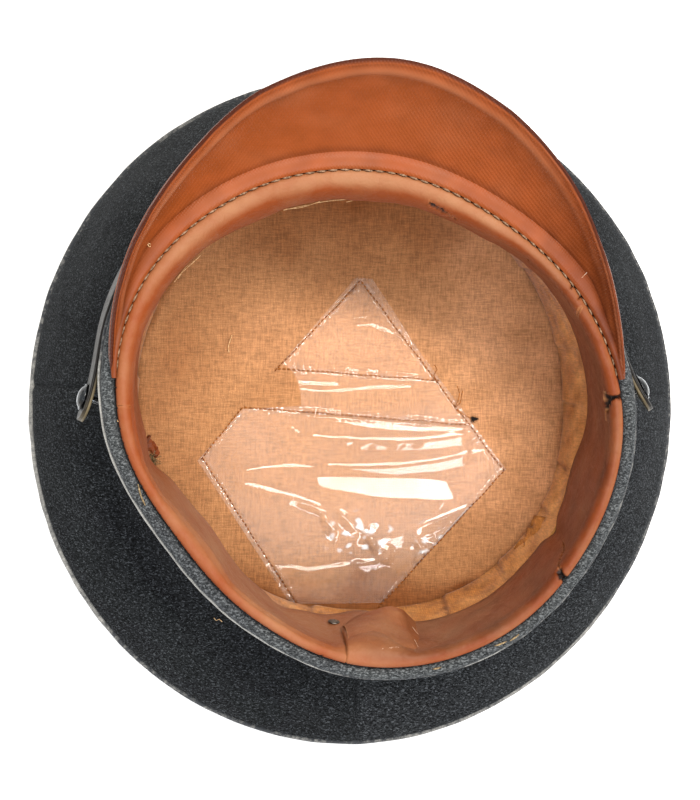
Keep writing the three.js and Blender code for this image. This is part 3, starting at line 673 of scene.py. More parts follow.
def over_leather(angle, down, off):
    """A place at a depth from 0 to 1 down the hanging part, standing off the leather by off mm."""
    angle, down, off = np.broadcast_arrays(np.asarray(angle, float), down, off)
    out, up = leather_section(angle.reshape(-1, 1))
    first = POINTS["seam"] + POINTS["outside"]
    out, up = out[:, first:], up[:, first:]
    row = np.clip(down.ravel(), 0, 1) * SWEATBAND_DEPTH
    gone = np.concatenate([0 * out[:, :1], np.hypot(np.diff(out), np.diff(up)).cumsum(axis=1)], axis=1)
    gone *= SWEATBAND_DEPTH / gone[:, -1:]

    def on_section(rows):
        return np.array([[np.interp(r, g, o), np.interp(r, g, u)] for r, g, o, u in zip(rows, gone, out, up)])

    at = on_section(row)
    tilt = on_section(row + 0.5) - at
    tilt /= np.linalg.norm(tilt, axis=1, keepdims=True) + 1e-9
    at = at + off.reshape(-1, 1) * np.column_stack([tilt[:, 1], -tilt[:, 0]])
    return band_point(angle.ravel(), at[:, 0], at[:, 1]).reshape(*angle.shape, 3)


near_cuts = np.concatenate([np.arange(min(c["path"])[0] - 1, max(c["path"])[0] + 1, 0.2) for c in CUTS]) % 360
angle = np.unique(np.round(np.concatenate([np.arange(0, 360, 0.72), near_cuts]), 2))[:, None]
out, up = leather_section(angle)
middle = band_point(angle, out, up)
normal = sheet_normals(middle, True)
normal *= -np.sign((normal * (middle - band_point(angle, -60, -20))).sum(axis=-1)[:, 40].mean())
column = np.arange(out.shape[1])[None, :] * np.ones_like(angle)
down = np.clip(-up / SWEATBAND_DEPTH, 0, 1)                      # 0 at the roll, 1 at the free edge
inside = smoothstep(10, 22, column)
on_top = smoothstep(0.45, 0.95, normal[..., 2]) * (column > 4)

along_ring = band_point(angle, -9, 0)[:, :1]
creases = wobble(along_ring, 5.5, 41) * bump(wobble(along_ring, 40, 42), 0.9, 0.6)
soft_fold = bump(column, 19 + 2 * wobble(along_ring, 60, 49), 2.6)
soft_fold = soft_fold * smoothstep(62, 30, abs(apart(angle, 215)))
ripple = 0.5 * wobble(middle * (1, 1, 0.35), 30, 43) + 0.16 * wobble(middle * (1, 1, 0.6), 12, 44)
ripple = ripple * smoothstep(0, 0.35, down) * smoothstep(1.15, 0.8, down)
lift = inside * (ripple + 0.05 * wobble(middle, 4.2, 45))
lift = lift + on_top * (0.20 * creases + 0.14 * wobble(middle, 11, 46)) - 0.18 * soft_fold
from_joint = apart(angle, JOINT_AT)
overlap = 1.3 * smoothstep(0.0, 0.35, from_joint) * smoothstep(26, 8, from_joint) * smoothstep(0.5, 0.3, down)
lift = lift + (inside + 0.35 * on_top) * overlap
lift = lift - inside * 0.5 * bump(from_joint, -0.25, 0.5) * smoothstep(0.6, 0.4, down)
cut, torn_lip = 0 * column, 0 * column
over = np.concatenate([0 * angle, np.hypot(np.diff(out), np.diff(up)).cumsum(axis=1)], axis=1)
over -= over[:, 4:5]                                            # mm from the roll's outer foot
for c in CUTS:
    starts_at = c["path"][0][0]
    place = np.stack([apart(angle, starts_at) * MM_PER_DEGREE + 0 * over, over], axis=-1).reshape(-1, 2)
    path = [((a - starts_at) * MM_PER_DEGREE, m) for a, m in c["path"]]
    gap = np.min([distance_to(place, a, b)[0] for a, b in zip(path, path[1:])], axis=0).reshape(over.shape)
    gap = gap + 0.25 * c["wide"] * wobble(middle, 2.5, 40)
    cut = np.maximum(cut, smoothstep(1.25 * c["wide"], 0.85 * c["wide"], gap))
    lift = lift - min(2.2, 3 * c["wide"]) * smoothstep(1.3 * c["wide"], 0.5 * c["wide"], gap)
    torn_lip = torn_lip + c["lip"] * bump(gap, 1.3 * c["wide"] + 0.2, 0.3)
middle = middle + (lift + torn_lip)[..., None] * normal
thick = SKIN * (0.55 + 0.45 * smoothstep(0, 3, np.minimum(column, column[:, ::-1])))
strip_long = float(np.linalg.norm(np.diff(middle[:, 20], axis=0), axis=1).sum())
print("sweatband strip:", round(strip_long), "mm long")

# %% Sweatband piece
sweatband = sheet("sheepskin_sweatband", middle, thick, sheepskin, around=True)
in_front = smoothstep(75, 25, abs(apart(angle, 95)))
behind = smoothstep(70, 25, abs(apart(angle, 262)))
at_left = smoothstep(75, 30, abs(apart(angle, 190)))
worn_wall = 0.8 * smoothstep(78, 38, abs(apart(angle, 252))) - 0.12
# Partly painted highlight: the top of the roll is paler, most at the front, both as rubbing and as light on
# it. On the right the roll is kept dark except for a narrow pale strip, which is a painted highlight.
wear_and_highlight = (0.38 + 0.5 * in_front + 0.15 * behind - 0.16 * at_left) * on_top + inside * worn_wall
at_right = smoothstep(85, 45, abs(apart(angle, 345)))
wear_and_highlight = wear_and_highlight - 0.30 * at_right * on_top * (1 - 1.6 * bump(over, 1.2, 1.2))
wear_and_highlight = wear_and_highlight + 0.10 * wobble(middle, 22, 47) + 0.1 * soft_fold + 0.3 * torn_lip
# Painted shade: on the right the inner wall and the roll are darkened, as if they faced away from the light.
# The seam's edge down by the band, the cut slits and the gap at the joint are painted dark as shadow. The
# strip also darkens towards its free edge.
down_wall = smoothstep(2.0, 4.8, over) * smoothstep(82, 45, abs(apart(angle, 335)))
painted_wall_shade = (0.20 + 0.12 * bump(over, 6, 3)) * down_wall * (1 + 0.4 * wobble(middle, 16, 48))
dirt_and_shade = 0.7 * smoothstep(5.5, 3.5, column) + painted_wall_shade
dirt_and_shade = dirt_and_shade + 0.2 * inside * smoothstep(0.85, 1.0, down) + 2 * cut
dirt_and_shade = dirt_and_shade + 0.20 * at_right * on_top * (1 - bump(over, 0.8, 0.9))
dirt_and_shade = dirt_and_shade + 0.06 * inside * smoothstep(75, 40, abs(apart(angle, 355)))
dirt_and_shade = dirt_and_shade + 0.8 * inside * bump(from_joint, -0.3, 0.25) * smoothstep(0.6, 0.4, down)
mark_sheet(sweatband, "torn", 2.4 * (torn_lip - 0.05) * (1 - cut), most=0.9)
mark_sheet(sweatband, "wear_and_highlight", wear_and_highlight)
mark_sheet(sweatband, "dirt_and_shade", dirt_and_shade)
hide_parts("sweatband")
print("sweatband:", triangles(sweatband), "triangles")

# %% [markdown]
# ## The visor
# A visor is pressed from fibre board. Its upper side, which faces down here, is lacquered black and polished
# like patent leather. The lining side has a coat of orange-brown paint that was rolled with a fine crossed
# grain, like book cloth. The lines of that grain are about 0.5 mm apart and are drawn at 0.9 mm.

# %% Visor materials
GRAIN_MM = 0.9
board = empty_material("rolled_painted_fibre_board")
place = node(board, "TexCoord").outputs["Object"]
grain = []
for turn in (math.radians(38), math.radians(-44)):
    lie = node(board, "Mapping", {"Vector": place, "Rotation": (0, 0, turn)})
    grain.append(node(board, "TexWave", {"Vector": lie, "Scale": lines(GRAIN_MM),
                                         "Distortion": 1.2, "Detail": 1, "Detail Scale": 3}).outputs["Fac"])
crossed = node(board, "Math", {0: grain[0], 1: grain[1]}, operation="ADD")
smooth_part = node(board, "Attribute", attribute_name="smooth_part")
embossed = node(board, "MapRange", {"Value": smooth_part.outputs["Fac"], "To Min": 1, "To Max": 0.12})
pressed = node(board, "Math", {0: crossed, 1: embossed}, operation="MULTIPLY")
mottle = node(board, "TexNoise", {"Vector": place, "Scale": grains(11), "Detail": 6, "Roughness": 0.65})
scuffs = node(board, "TexNoise", {"Vector": place, "Scale": grains(2.5), "Detail": 4, "Distortion": 1.5})
wear_and_highlight = node(board, "Attribute", attribute_name="wear_and_highlight")
dirt_and_shade = node(board, "Attribute", attribute_name="dirt_and_shade")
uneven = node(board, "MapRange", {"Value": mottle, "From Min": 0.3, "From Max": 0.7})
paint = node(board, "MixRGB", {"Fac": uneven, "Color1": linear("7f3c15"), "Color2": linear("8c431c")})
rubbed_and_highlight = node(board, "MixRGB", {"Fac": wear_and_highlight.outputs["Fac"], "Color1": paint, "Color2": linear("965a3a")})
# Darker by a mark that holds dirt and painted shade.
dirty_and_shaded = node(board, "MixRGB", {"Fac": dirt_and_shade.outputs["Fac"], "Color1": rubbed_and_highlight, "Color2": linear("401807")})
dull = node(board, "MapRange", {"Value": scuffs, "To Min": 0.36, "To Max": 0.54})
weave = node(board, "Bump", {"Height": pressed, "Strength": 0.28, "Distance": 0.00025})
relief = node(board, "Bump", {"Height": scuffs, "Strength": 0.12, "Distance": 0.0005, "Normal": weave})
shader = node(board, "BsdfPrincipled", {
    "Base Color": dirty_and_shaded, "Roughness": dull, "Specular IOR Level": 0.16, "Normal": relief})
node(board, "OutputMaterial", {"Surface": shader})

lacquer = empty_material("black_lacquered_board")
place = node(lacquer, "TexCoord").outputs["Object"]
crazing = node(lacquer, "TexVoronoi", {"Vector": place, "Scale": grains(9)}, feature="DISTANCE_TO_EDGE")
cracks = node(lacquer, "MapRange", {"Value": crazing.outputs["Distance"], "From Max": 0.025})
dust = node(lacquer, "TexNoise", {"Vector": place, "Scale": grains(20), "Detail": 6})
polish = node(lacquer, "MapRange", {
    "Value": dust, "From Min": 0.35, "From Max": 0.75, "To Min": 0.08, "To Max": 0.30})
black = node(lacquer, "MixRGB", {"Fac": cracks, "Color1": linear("2b2522"), "Color2": linear("0e0d0e")})
relief = node(lacquer, "Bump", {"Height": cracks, "Strength": 0.25, "Distance": 0.0002})
shader = node(lacquer, "BsdfPrincipled", {
    "Base Color": black, "Roughness": polish, "Coat Weight": 0.6, "Coat Roughness": 0.06, "Normal": relief})
node(lacquer, "OutputMaterial", {"Surface": shader})
print("visor grain lines drawn", GRAIN_MM, "mm apart")

# %% [markdown]
# The visor is one curved board. Its root is a flange that lies on the band's mouth as a soft ridge about
# 6 mm wide. Past a pressed groove comes the blade, a little hollow like the palm of a hand, and a soft bead
# about 4 mm wide follows its edge, 5 mm in. All of it is one grid: rows round the mouth, columns from the
# root to the edge. The lining side and the lacquered side are two materials on the two faces of one sheet.

# %% Visor shape
VISOR_FROM, VISOR_TO, VISOR_SLOPE = 11, 169, 0.306
VISOR_EDGE = [(10, -5), (25, -0.8), (40, 6.3), (55, 15.8), (70, 23.5), (90, 28.5), (110, 22.3), (125, 12.2),
              (140, 3.8), (155, -2.6), (170, -6)]              # angle, and reach past the mouth's edge, mm
FLANGE = dict(root=-7.1, out=-0.8, up=1.5)


def visor_reach(angle):
    """How far the visor's edge reaches past the mouth's edge, on a smooth curve through VISOR_EDGE."""
    at, reach = np.array(VISOR_EDGE, float).T
    row = np.clip(np.searchsorted(at, angle, side="right") - 1, 0, len(at) - 2)
    a, b, c, d = (reach[np.clip(row + k, 0, len(at) - 1)] for k in (-1, 0, 1, 2))
    return smooth_between(a, b, c, d, (angle - at[row]) / (at[row + 1] - at[row]))


angle = np.linspace(VISOR_FROM, VISOR_TO, 330)[:, None]
reach = visor_reach(angle)
tip_y = band_point(VISOR_FROM, visor_reach(np.array(VISOR_FROM)), 0)[1]
rise = VISOR_SLOPE * np.maximum(0, band_point(angle, reach, 0)[..., 1] - tip_y) + FLANGE["up"]
turn = np.minimum(FLANGE["out"], FLANGE["root"] + 0.6 * (reach - FLANGE["root"]))
ACROSS_FLANGE = 13
g = np.linspace(0, 1, ACROSS_FLANGE)[None, :]
f = np.concatenate([np.linspace(0.03, 0.66, 20), np.linspace(0.68, 1, 24)])[None, :]     # along the blade
sag = 2 * np.sin(math.pi * f) * rise / 34
root, root_up = FLANGE["root"], FLANGE["up"]
out = np.concatenate([root + (turn - root) * g, turn + (reach - turn) * f + sag], axis=1)
up = np.concatenate([root_up + 0 * g * angle, root_up + (rise - root_up) * f - sag / 2], axis=1)
middle = band_point(angle, out, up)
normal = sheet_normals(middle, False)
normal *= np.sign(normal[..., 2].mean())
width = np.linalg.norm(np.diff(middle, axis=1, prepend=middle[:, :1]), axis=2).cumsum(axis=1)
to_edge = width[:, -1:] - width
full = smoothstep(2.5, 9, width[:, -1:])
ridge = np.concatenate([np.sin(math.pi * g) ** 1.2 * np.ones_like(angle), 0 * f * angle], axis=1)
groove = bump(to_edge - width[:, -1:], -width[:, ACROSS_FLANGE:ACROSS_FLANGE + 1], 1.5) * full
flattened = 0.35 + 0.65 * smoothstep(40, 75, angle)            # on the right
bead = bump(to_edge, 5.3, 2.0) * full * flattened
beside = bump(to_edge, 8.8, 2.4) * full
lift = 0.6 * ridge - 0.16 * groove + 0.85 * bead - 0.16 * beside
lift = lift + 0.10 * wobble(middle, 13, 51)
thick = 2.2 * (0.3 + 0.7 * smoothstep(0, 1.5, np.minimum(width + 0.45, to_edge + 0.1)))
middle = middle + lift[..., None] * normal / 2
print("visor:", round(float(width.max()), 1), "mm deep in front,", round(float(rise.max()), 1), "mm high")

# %% Visor piece
visor = sheet("pressed_visor", middle, thick + np.maximum(lift, 0), board)
visor.data.materials.append(lacquer)
normals = np.zeros(len(visor.data.polygons) * 3)
visor.data.polygons.foreach_get("normal", normals)
columns = middle.shape[1]
board_first = sheet_normals(middle, False)[..., 2].mean() > 0
on_board = np.array([all((point % (2 * columns) < columns) == board_first for point in face.vertices)
                     for face in visor.data.polygons])
lacquered = (normals.reshape(-1, 3)[:, 2] < 0.05) & ~on_board
visor.data.polygons.foreach_set("material_index", lacquered.astype(int))
mark_sheet(visor, "smooth_part", ridge + bead)
to_right, to_left = smoothstep(75, 18, angle), smoothstep(115, 165, angle)
# The flange's ridge and the bead are paler, partly rubbed and partly a painted highlight.
wear_and_highlight = 0.26 * ridge * (1 - to_right) * (1 - 0.6 * to_left) + 0.60 * bead + 0.12 * wobble(middle, 18, 52)
wear_and_highlight = wear_and_highlight + 0.8 * to_right * bump(to_edge, 0.7, 0.3)
mark_sheet(visor, "wear_and_highlight", wear_and_highlight)
# Painted shade: the groove, the dip inside the bead, the band that slopes to the edge and the whole right
# side are darker, as shade; the rest is dirt. The black along the edge is the lacquer.
dirt_and_shade = 0.38 * groove + 0.08 * beside + 0.10 * bump(to_edge, 1.8, 2.0) + 0.14 * ridge + 0.50 * to_right
dirt_and_shade = dirt_and_shade + 0.22 * to_left + 0.08 * wobble(middle, 9, 53)
dirt_and_shade = dirt_and_shade + 1.5 * smoothstep(0.8, 0.3, to_edge) * (1 - to_right)
mark_sheet(visor, "dirt_and_shade", dirt_and_shade)
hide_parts("visor")
print("visor:", triangles(visor), "triangles,", int(lacquered.sum()), "lacquered faces")

# %% [markdown]
# ## Cotton lining
# The lining is a plain-woven cotton: each weft thread goes over one warp thread and under the next. Cheap
# cotton yarn is uneven, so thick places, called slubs, run along both sets of threads and give the cloth its
# fine grid of darker and lighter lines. The threads are 0.6 mm apart and are drawn at 0.7 mm; a slub is 5 to
# 30 mm long. Years of hair oil and dust have stained it. One mark on the mesh darkens it, darkest under the
# front, as stain and as painted shade of the walls; a second paints it paler where more light falls.

# %% Cotton material
THREAD_MM = 0.7


def plain_cotton(name, thread, gap, stain_and_shade, fresh_and_lit, slub_share, blotch_mm):
    """Plain weave: the tones of its threads, of the gaps, of a stain that also paints shade, and of cloth
    that has stayed fresh, which also paints light.
    """
    cotton = empty_material(name)
    place = node(cotton, "TexCoord").outputs["Object"]
    sets, slubs = [], []
    for turn in (0, math.pi / 2):
        lie = node(cotton, "Mapping", {"Vector": place, "Rotation": (0, 0, turn + 0.02)})
        sets.append(node(cotton, "TexWave", {"Vector": lie, "Scale": lines(THREAD_MM),
                                             "Distortion": 6, "Detail": 3, "Detail Scale": 1.2,
                                             "Detail Roughness": 0.7}).outputs["Fac"])
        long = node(cotton, "Mapping", {"Vector": lie, "Scale": (grains(THREAD_MM), grains(5), grains(5))})
        slubs.append(node(cotton, "TexNoise", {"Vector": long, "Scale": 1, "Detail": 3,
                                               "Roughness": 0.75}))
    crossing = node(cotton, "Math", {0: sets[0], 1: sets[1]}, operation="MULTIPLY")
    slub = node(cotton, "Math", {0: slubs[0], 1: slubs[1]}, operation="ADD")
    thick = node(cotton, "MapRange", {
        "Value": slub, "From Min": 0.78, "From Max": 1.20, "To Min": 1 - slub_share,
        "To Max": 1 + 0.5 * slub_share})
    blotches = node(cotton, "TexNoise", {
        "Vector": place, "Scale": grains(blotch_mm), "Detail": 7, "Roughness": 0.62})
    patchy = node(cotton, "MapRange", {"Value": blotches, "From Min": 0.43, "From Max": 0.72})
    marked = node(cotton, "Attribute", attribute_name="stain_and_shade")
    stain_and_shade_share = node(cotton, "Math", {0: marked.outputs["Fac"], 1: 0.75, 2: 0}, operation="MULTIPLY")
    all_stain_and_shade = node(cotton, "Math", {
        0: patchy, 1: 0.28, 2: stain_and_shade_share}, operation="MULTIPLY_ADD", use_clamp=True)
    woven = node(cotton, "MixRGB", {"Fac": crossing, "Color1": linear(gap), "Color2": linear(thread)})
    stained = node(cotton, "MixRGB", {"Fac": all_stain_and_shade, "Color1": woven, "Color2": linear(stain_and_shade)})
    faded_and_painted_light = node(cotton, "Attribute", attribute_name="faded_and_painted_light")
    lighter = node(cotton, "MixRGB", {
        "Fac": faded_and_painted_light.outputs["Fac"], "Color1": stained, "Color2": linear(fresh_and_lit)})
    colour = node(cotton, "VectorMath", {0: lighter, "Scale": thick}, operation="SCALE")
    cloth_relief = node(cotton, "Math", {0: crossing, 1: slub}, operation="ADD")
    relief = node(cotton, "Bump", {"Height": cloth_relief, "Strength": 0.35, "Distance": 0.0003})
    shader = node(cotton, "BsdfPrincipled", {
        "Base Color": colour, "Roughness": 0.82, "Specular IOR Level": 0.2, "Sheen Weight": 0.15,
        "Sheen Roughness": 0.4, "Normal": relief})
    node(cotton, "OutputMaterial", {"Surface": shader})
    return cotton


lining_cotton = plain_cotton("plain_woven_cotton", "b9875c", "9f6f46", "733e17", "d9a176", 0.34, 35)
side_cotton = plain_cotton("sized_cotton", "c2823f", "ad7037", "6a3a12", "dca05e", 0.28, 5)
print("lining threads drawn", THREAD_MM, "mm apart")

# %% [markdown]
# ## The lining
# The lining is a disc of cotton as wide as the head, with a strip of the same cotton gathered round it that
# rises to the foot of the band. The disc rests on the crown. It is never quite flat: it ripples, and it is
# rucked where the gathered strip pulls at it. The film lies on it, so its height is kept as a function.

# %% Lining disc
LINING_LOW, LINING_HIGH = 2.3, 3.5                               # mm above the table


def lining_lift(points):
    """Height of the lining's ripples above its flat place, mm."""
    x, y = points[..., 0], points[..., 1]
    angle = np.degrees(np.arctan2(y - LINING_CENTRE[1], x - LINING_CENTRE[0])) % 360
    edge = np.hypot(x - LINING_CENTRE[0], y - LINING_CENTRE[1]) / outline(LINING, angle)
    flat = points * (1, 1, 0)
    rucked = smoothstep(0.70, 0.93, edge) * smoothstep(75, 25, abs(apart(angle, 318)))
    ripples = 0.35 + 0.35 * wobble(flat, 42, 61) + 0.9 * rucked * (0.6 + 0.6 * wobble(flat, 13, 62))
    return np.maximum(0, ripples) * smoothstep(1.0, 0.94, edge)


lining_top, flat = disc("cotton_lining_disc", lambda a: lining_point(a, 0, 0), LINING_LOW, LINING_HIGH,
                        58, 270, lining_cotton, lining_lift)
x, y = flat[..., 0], flat[..., 1]
# Painted shade: darker under the front, partly stain and partly the shade of the front wall and the visor,
# and near the back, the shade by the leather's edge. Also darker along the very edge of the disc.
front = 0.9 * smoothstep(46, 90, y + 5 * wobble(flat, 30, 63)) * smoothstep(75, 30, abs(x - 6))
back = 0.8 * smoothstep(-62, -80, y + 4 * wobble(flat, 24, 64))
left_smudge = 0.35 * np.exp(-(((x + 74) / 9) ** 2 + ((y - 24) / 14) ** 2))
stain_and_shade = np.clip(front + back + left_smudge + 0.12 * np.maximum(0, wobble(flat, 50, 65)), 0, 1)
edge = np.linspace(0.0005, 1, flat.shape[1])[None, :]
dark_edge_line = smoothstep(0.955, 0.995, edge + 0.012 * wobble(flat, 12, 66))
mark_sheet(lining_top, "stain_and_shade", stain_and_shade + 0.9 * dark_edge_line)
# Painted light: paler on the right, as if lit more strongly, and in a band near the front.
faded_and_painted_light = 0.50 * smoothstep(20, 62, x) * smoothstep(-70, -30, y)
faded_and_painted_light = faded_and_painted_light + 0.25 * bump(y, 30, 16) * smoothstep(70, 40, abs(x - 4))
mark_sheet(lining_top, "faded_and_painted_light", faded_and_painted_light * (0.8 + 0.2 * wobble(flat, 18, 67)))
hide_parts("lining_top")
print("lining disc:", triangles(lining_top), "triangles")

# %% [markdown]
# The strip round the disc is longer than the way round it, so it is laid in flat pleats. Each pleat folds
# over the next by a few millimetres, and the fold throws a narrow shadow.

# %% Gathered side lining
PLEATS = 21
angle = np.linspace(0, 360, 756, endpoint=False)[:, None]
f = np.linspace(0, 1, 22)[None, :]
foot, head = lining_point(angle, -1.2, LINING_HIGH + 0.5), band_point(angle, -6.4, -43.4)
middle = foot + (head - foot) * f[..., None]
phase = angle / 360 * PLEATS + 0.18 * wobble(foot, 60, 71)
saw = phase % 1
pleat = 1.5 * (1 - saw) * smoothstep(0, 0.09, saw) - 0.4
pleat = pleat * (1 - smoothstep(0.2, 1, f))
pleat = pleat + 0.3 * wobble(middle, 12, 72) * np.sin(math.pi * np.clip(f, 0.02, 1))
inwards = -polar(angle, 1, 0)
middle = middle + np.maximum(-0.3, pleat)[..., None] * inwards * smoothstep(0, 0.06, f + 0.02)[..., None]
lining_side = sheet("cotton_lining_pleats", middle, 0.9, side_cotton, around=True)
fold_shadow = bump(saw, 0.02, 0.035) + bump(saw, 0.98, 0.02)
# Painted shade: the shadows of the pleats' folds and the shade at the strip's foot are painted into its stain
# mark.
stain_and_shade = 0.9 * fold_shadow * (1 - 0.6 * f) + 0.30 * wobble(middle, 6, 73) + 0.7 * smoothstep(0.08, 0.0, f)
mark_sheet(lining_side, "stain_and_shade", stain_and_shade)
# Painted light: paler on the right, as if lit more strongly.
faded_and_painted_light = 0.4 * smoothstep(50, 20, abs(apart(angle, 350))) + 0.25 * wobble(middle, 11, 74)
mark_sheet(lining_side, "faded_and_painted_light", faded_and_painted_light)
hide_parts("lining_side")
print("lining strip:", PLEATS, "pleats,", triangles(lining_side), "triangles, area",
      round(area_of(middle, True), 4), "square metres")

# %% [markdown]
# ## The sweat shield
# A lozenge of clear soft vinyl is sewn over the middle of the lining, to keep hair oil off the cloth and to
# hold a name card. Clear film shows what is under it, a little paler, because its two faces mirror the room,
# and it flashes where it tilts towards a softbox. So the shader lets light straight through except for a
# small share that a glossy surface takes, and that share grows at grazing angles. Old vinyl is slightly
# cloudy, and a mark says where it is rubbed or has turned white; the same mark also paints small glints along
# the seams and on the crushed creases, as painted highlights. The streaks come from its shape: a steep
# fold gives a thin bright line and a gentle slope a wide patch.

# %% Film material
vinyl = empty_material("clear_plasticised_vinyl")
place = node(vinyl, "TexCoord").outputs["Object"]
cloud = node(vinyl, "TexNoise", {"Vector": place, "Scale": grains(20), "Detail": 4})
haze = node(vinyl, "MapRange", {
    "Value": cloud, "From Min": 0.3, "From Max": 0.7, "To Min": 0.004, "To Max": 0.016})
# The cloud mark holds haze, whitened plastic and painted glints.
cloud_and_painted_glints = node(vinyl, "Attribute", attribute_name="cloud_and_painted_glints")
veil = node(vinyl, "Math", {0: haze, 1: cloud_and_painted_glints.outputs["Fac"]}, operation="ADD")
FILM_IOR = 1.38
graze = node(vinyl, "Fresnel", {"IOR": FILM_IOR})
share = node(vinyl, "Math", {0: veil, 1: graze}, operation="ADD", use_clamp=True)
clear = node(vinyl, "BsdfTransparent", {"Color": linear("ffffff")})
scratches = node(vinyl, "TexNoise", {"Vector": place, "Scale": grains(6), "Detail": 2, "Distortion": 1})
relief = node(vinyl, "Bump", {"Height": scratches, "Strength": 0.05, "Distance": 0.0004})
glossy = node(vinyl, "BsdfPrincipled", {
    "Base Color": linear("f7f7f7"), "Roughness": 0.04, "IOR": 1.95, "Specular IOR Level": 1.0,
    "Coat Weight": 1.0, "Coat Roughness": 0.02, "Normal": relief})
mixed = node(vinyl, "MixShader", {0: share, 1: clear, 2: glossy})
node(vinyl, "OutputMaterial", {"Surface": mixed})
print("film: each face mirrors", round(((FILM_IOR - 1) / (FILM_IOR + 1)) ** 2, 3), "of the light head-on")

# %% [markdown]
# The film's outline is a lozenge with its back corner cut off, and a thumb notch on the left where the
# pocket opens. Its inside is filled with points 0.6 mm apart, joined into triangles. Its height over the
# lining is nothing at the seams, where the stitches pucker it, and rises between them in long, soft rolls
# that run across the cap, each given by the path of its crest, and in sharper folds. A streak's brightness
# comes from its slope, so the height of a fold is its length times the slope that mirrors the front softbox.
# Near the back the film was crushed once: its creases stayed, and the sharpest of them are painted white, as
# whitened plastic and as painted glints.

# %% Film shape
CORNERS = dict(top=(-1, 55), top_right=(6, 54.5), shoulder=(27.6, 22), right=(62.4, -24.6),
               back_right=(10.6, -79.6), back_left=(-28, -79.5), left=(-66, -20.5))
SEAMS_OF_FILM = [                                  # the lines of stitches, from and to, mm
    ((1.3, 53.8), (-33.5, 17.2)), ((1.3, 53.8), (61.6, -25.3)), ((-33.5, 17.2), (33.2, 12.7)),
    ((-47.4, 1.5), (46.3, -6.0)), ((-47.4, 1.5), (-64.0, -19.2)), ((-64.0, -19.2), (-24.8, -80.6)),
    ((61.6, -25.3), (9.0, -81.2))]
# Wide slopes that fall towards the front: the crest's path, the length of the slope on each side, and over
# how much of its length it comes up at each end, mm.
BROAD = [
    dict(path=[(-26, -2.9), (-12, -4.2), (-5, -5.4), (5, -7.6), (18, -8.8), (50, -9.4)
         ], front=5.4, back=20, ends=8),
    dict(path=[(-36, -29.8), (-24, -31.2), (-12, -33), (0, -34.6), (15, -36.4), (30, -37.6),
         (56, -37.8)], front=9.2, back=23, ends=26),
    dict(path=[(-28, 10.2), (-18, 10.4), (-6, 10.2)], front=2.4, back=8, ends=4)]
SHARP = [       # sharp folds, in the same way
    dict(path=[(-5.5, 36.4), (1, 37.8), (9, 38.4)], front=1.3, back=1.6),
    dict(path=[(-5.5, 34.2), (6, 34.6), (11, 32.6), (19, 29.6)], front=2.3, back=5),
    dict(path=[(-3.5, 48.6), (2.5, 49.2)], front=2.2, back=4),
    dict(path=[(-29, 8.2), (-15, 7.6), (-2, 7.8), (9, 8.4), (25, 9.6)], front=1.8, back=5),
    dict(path=[(-31, -2.6), (-29.4, -7), (-26, -9.8), (-17, -11.4), (-3, -12), (17.6, -13.3),
         (34.4, -12.2), (50, -9.6)], front=2.1, back=4.5),
    dict(path=[(-53, -29.2), (-50.6, -26.8), (-45, -25.2), (-36, -24.2), (-20, -23.6), (-3, -23.6),
         (17.6, -23.2), (34.4, -21.6), (46, -18.4), (58, -16.4)], front=2.0, back=4),
    dict(path=[(-52, -28.4), (-46, -31.2), (-40, -32.9), (-33.5, -34.6), (-26, -36.3), (-19.5, -38.8),
         (-12, -42)], front=2.4, back=4),
    dict(path=[(-16, -43.5), (-12, -46.5), (-8, -51)], front=2.8, back=6),
    dict(path=[(-10, -40.5), (-5, -44), (0, -49)], front=2.6, back=6),
    dict(path=[(-3, -48), (4, -51), (9, -56)], front=2.8, back=6),
    dict(path=[(3, -52), (9, -57), (16, -60)], front=2.8, back=6),
    dict(path=[(-5, -62), (2, -63.4), (8, -63), (16, -60)], front=2.2, back=7),
    dict(path=[(-44, -59), (-38, -66), (-27, -65.2), (-20, -66.8), (-3, -64), (3, -63)], front=2.2, back=6),
    dict(path=[(22, -49.4), (34.4, -44.8), (48, -39.4)], front=2.0, back=5),
    dict(path=[(22, -51), (26, -56), (31, -60)], front=2.6, back=6),
    dict(path=[(23, -60), (28, -64)], front=2.6, back=5),
    dict(path=[(29, -61), (39, -55)], front=1.7, back=5),
    dict(path=[(-38, -69), (-30, -77)], front=3.2, back=5)]
CRUMPLES = [    # crushed places
    dict(x=1, y=-52, wide=12, deep=10, high=0.20, size=6.5),
    dict(x=-38, y=-68, wide=9, deep=9, high=0.22, size=5),
    dict(x=33, y=-57, wide=8, deep=10, high=0.18, size=5)]


def fold(roll, x, y, sway):
    """How far up a roll or fold each point lies, from 0 at its foot to 1 on its crest, and the crest's y."""
    at_x, at_y = np.array(roll["path"], float).T
    reach = np.linspace(at_x[0], at_x[-1], 80)
    path = np.pad(np.interp(reach, at_x, at_y), 3, mode="edge")
    crest = np.interp(x, reach, np.convolve(path, np.ones(7) / 7, "valid"))
    across = y - crest + sway
    t = np.clip(1 - np.where(across > 0, across / roll["front"], -across / roll["back"]), 0, 1)
    ends = roll.get("ends", min(5, 0.3 * (at_x[-1] - at_x[0])))
    return t * smoothstep(0, ends, x - at_x[0]) * smoothstep(0, ends, at_x[-1] - x), crest


def slope_to_flash(y):
    """The slope at which the film mirrors the front softbox, steeper towards the back."""
    return 0.187 - 0.00125 * y


def level(points):
    """Flat points with a height of 0."""
    return np.column_stack([points, 0 * points[:, 0]])


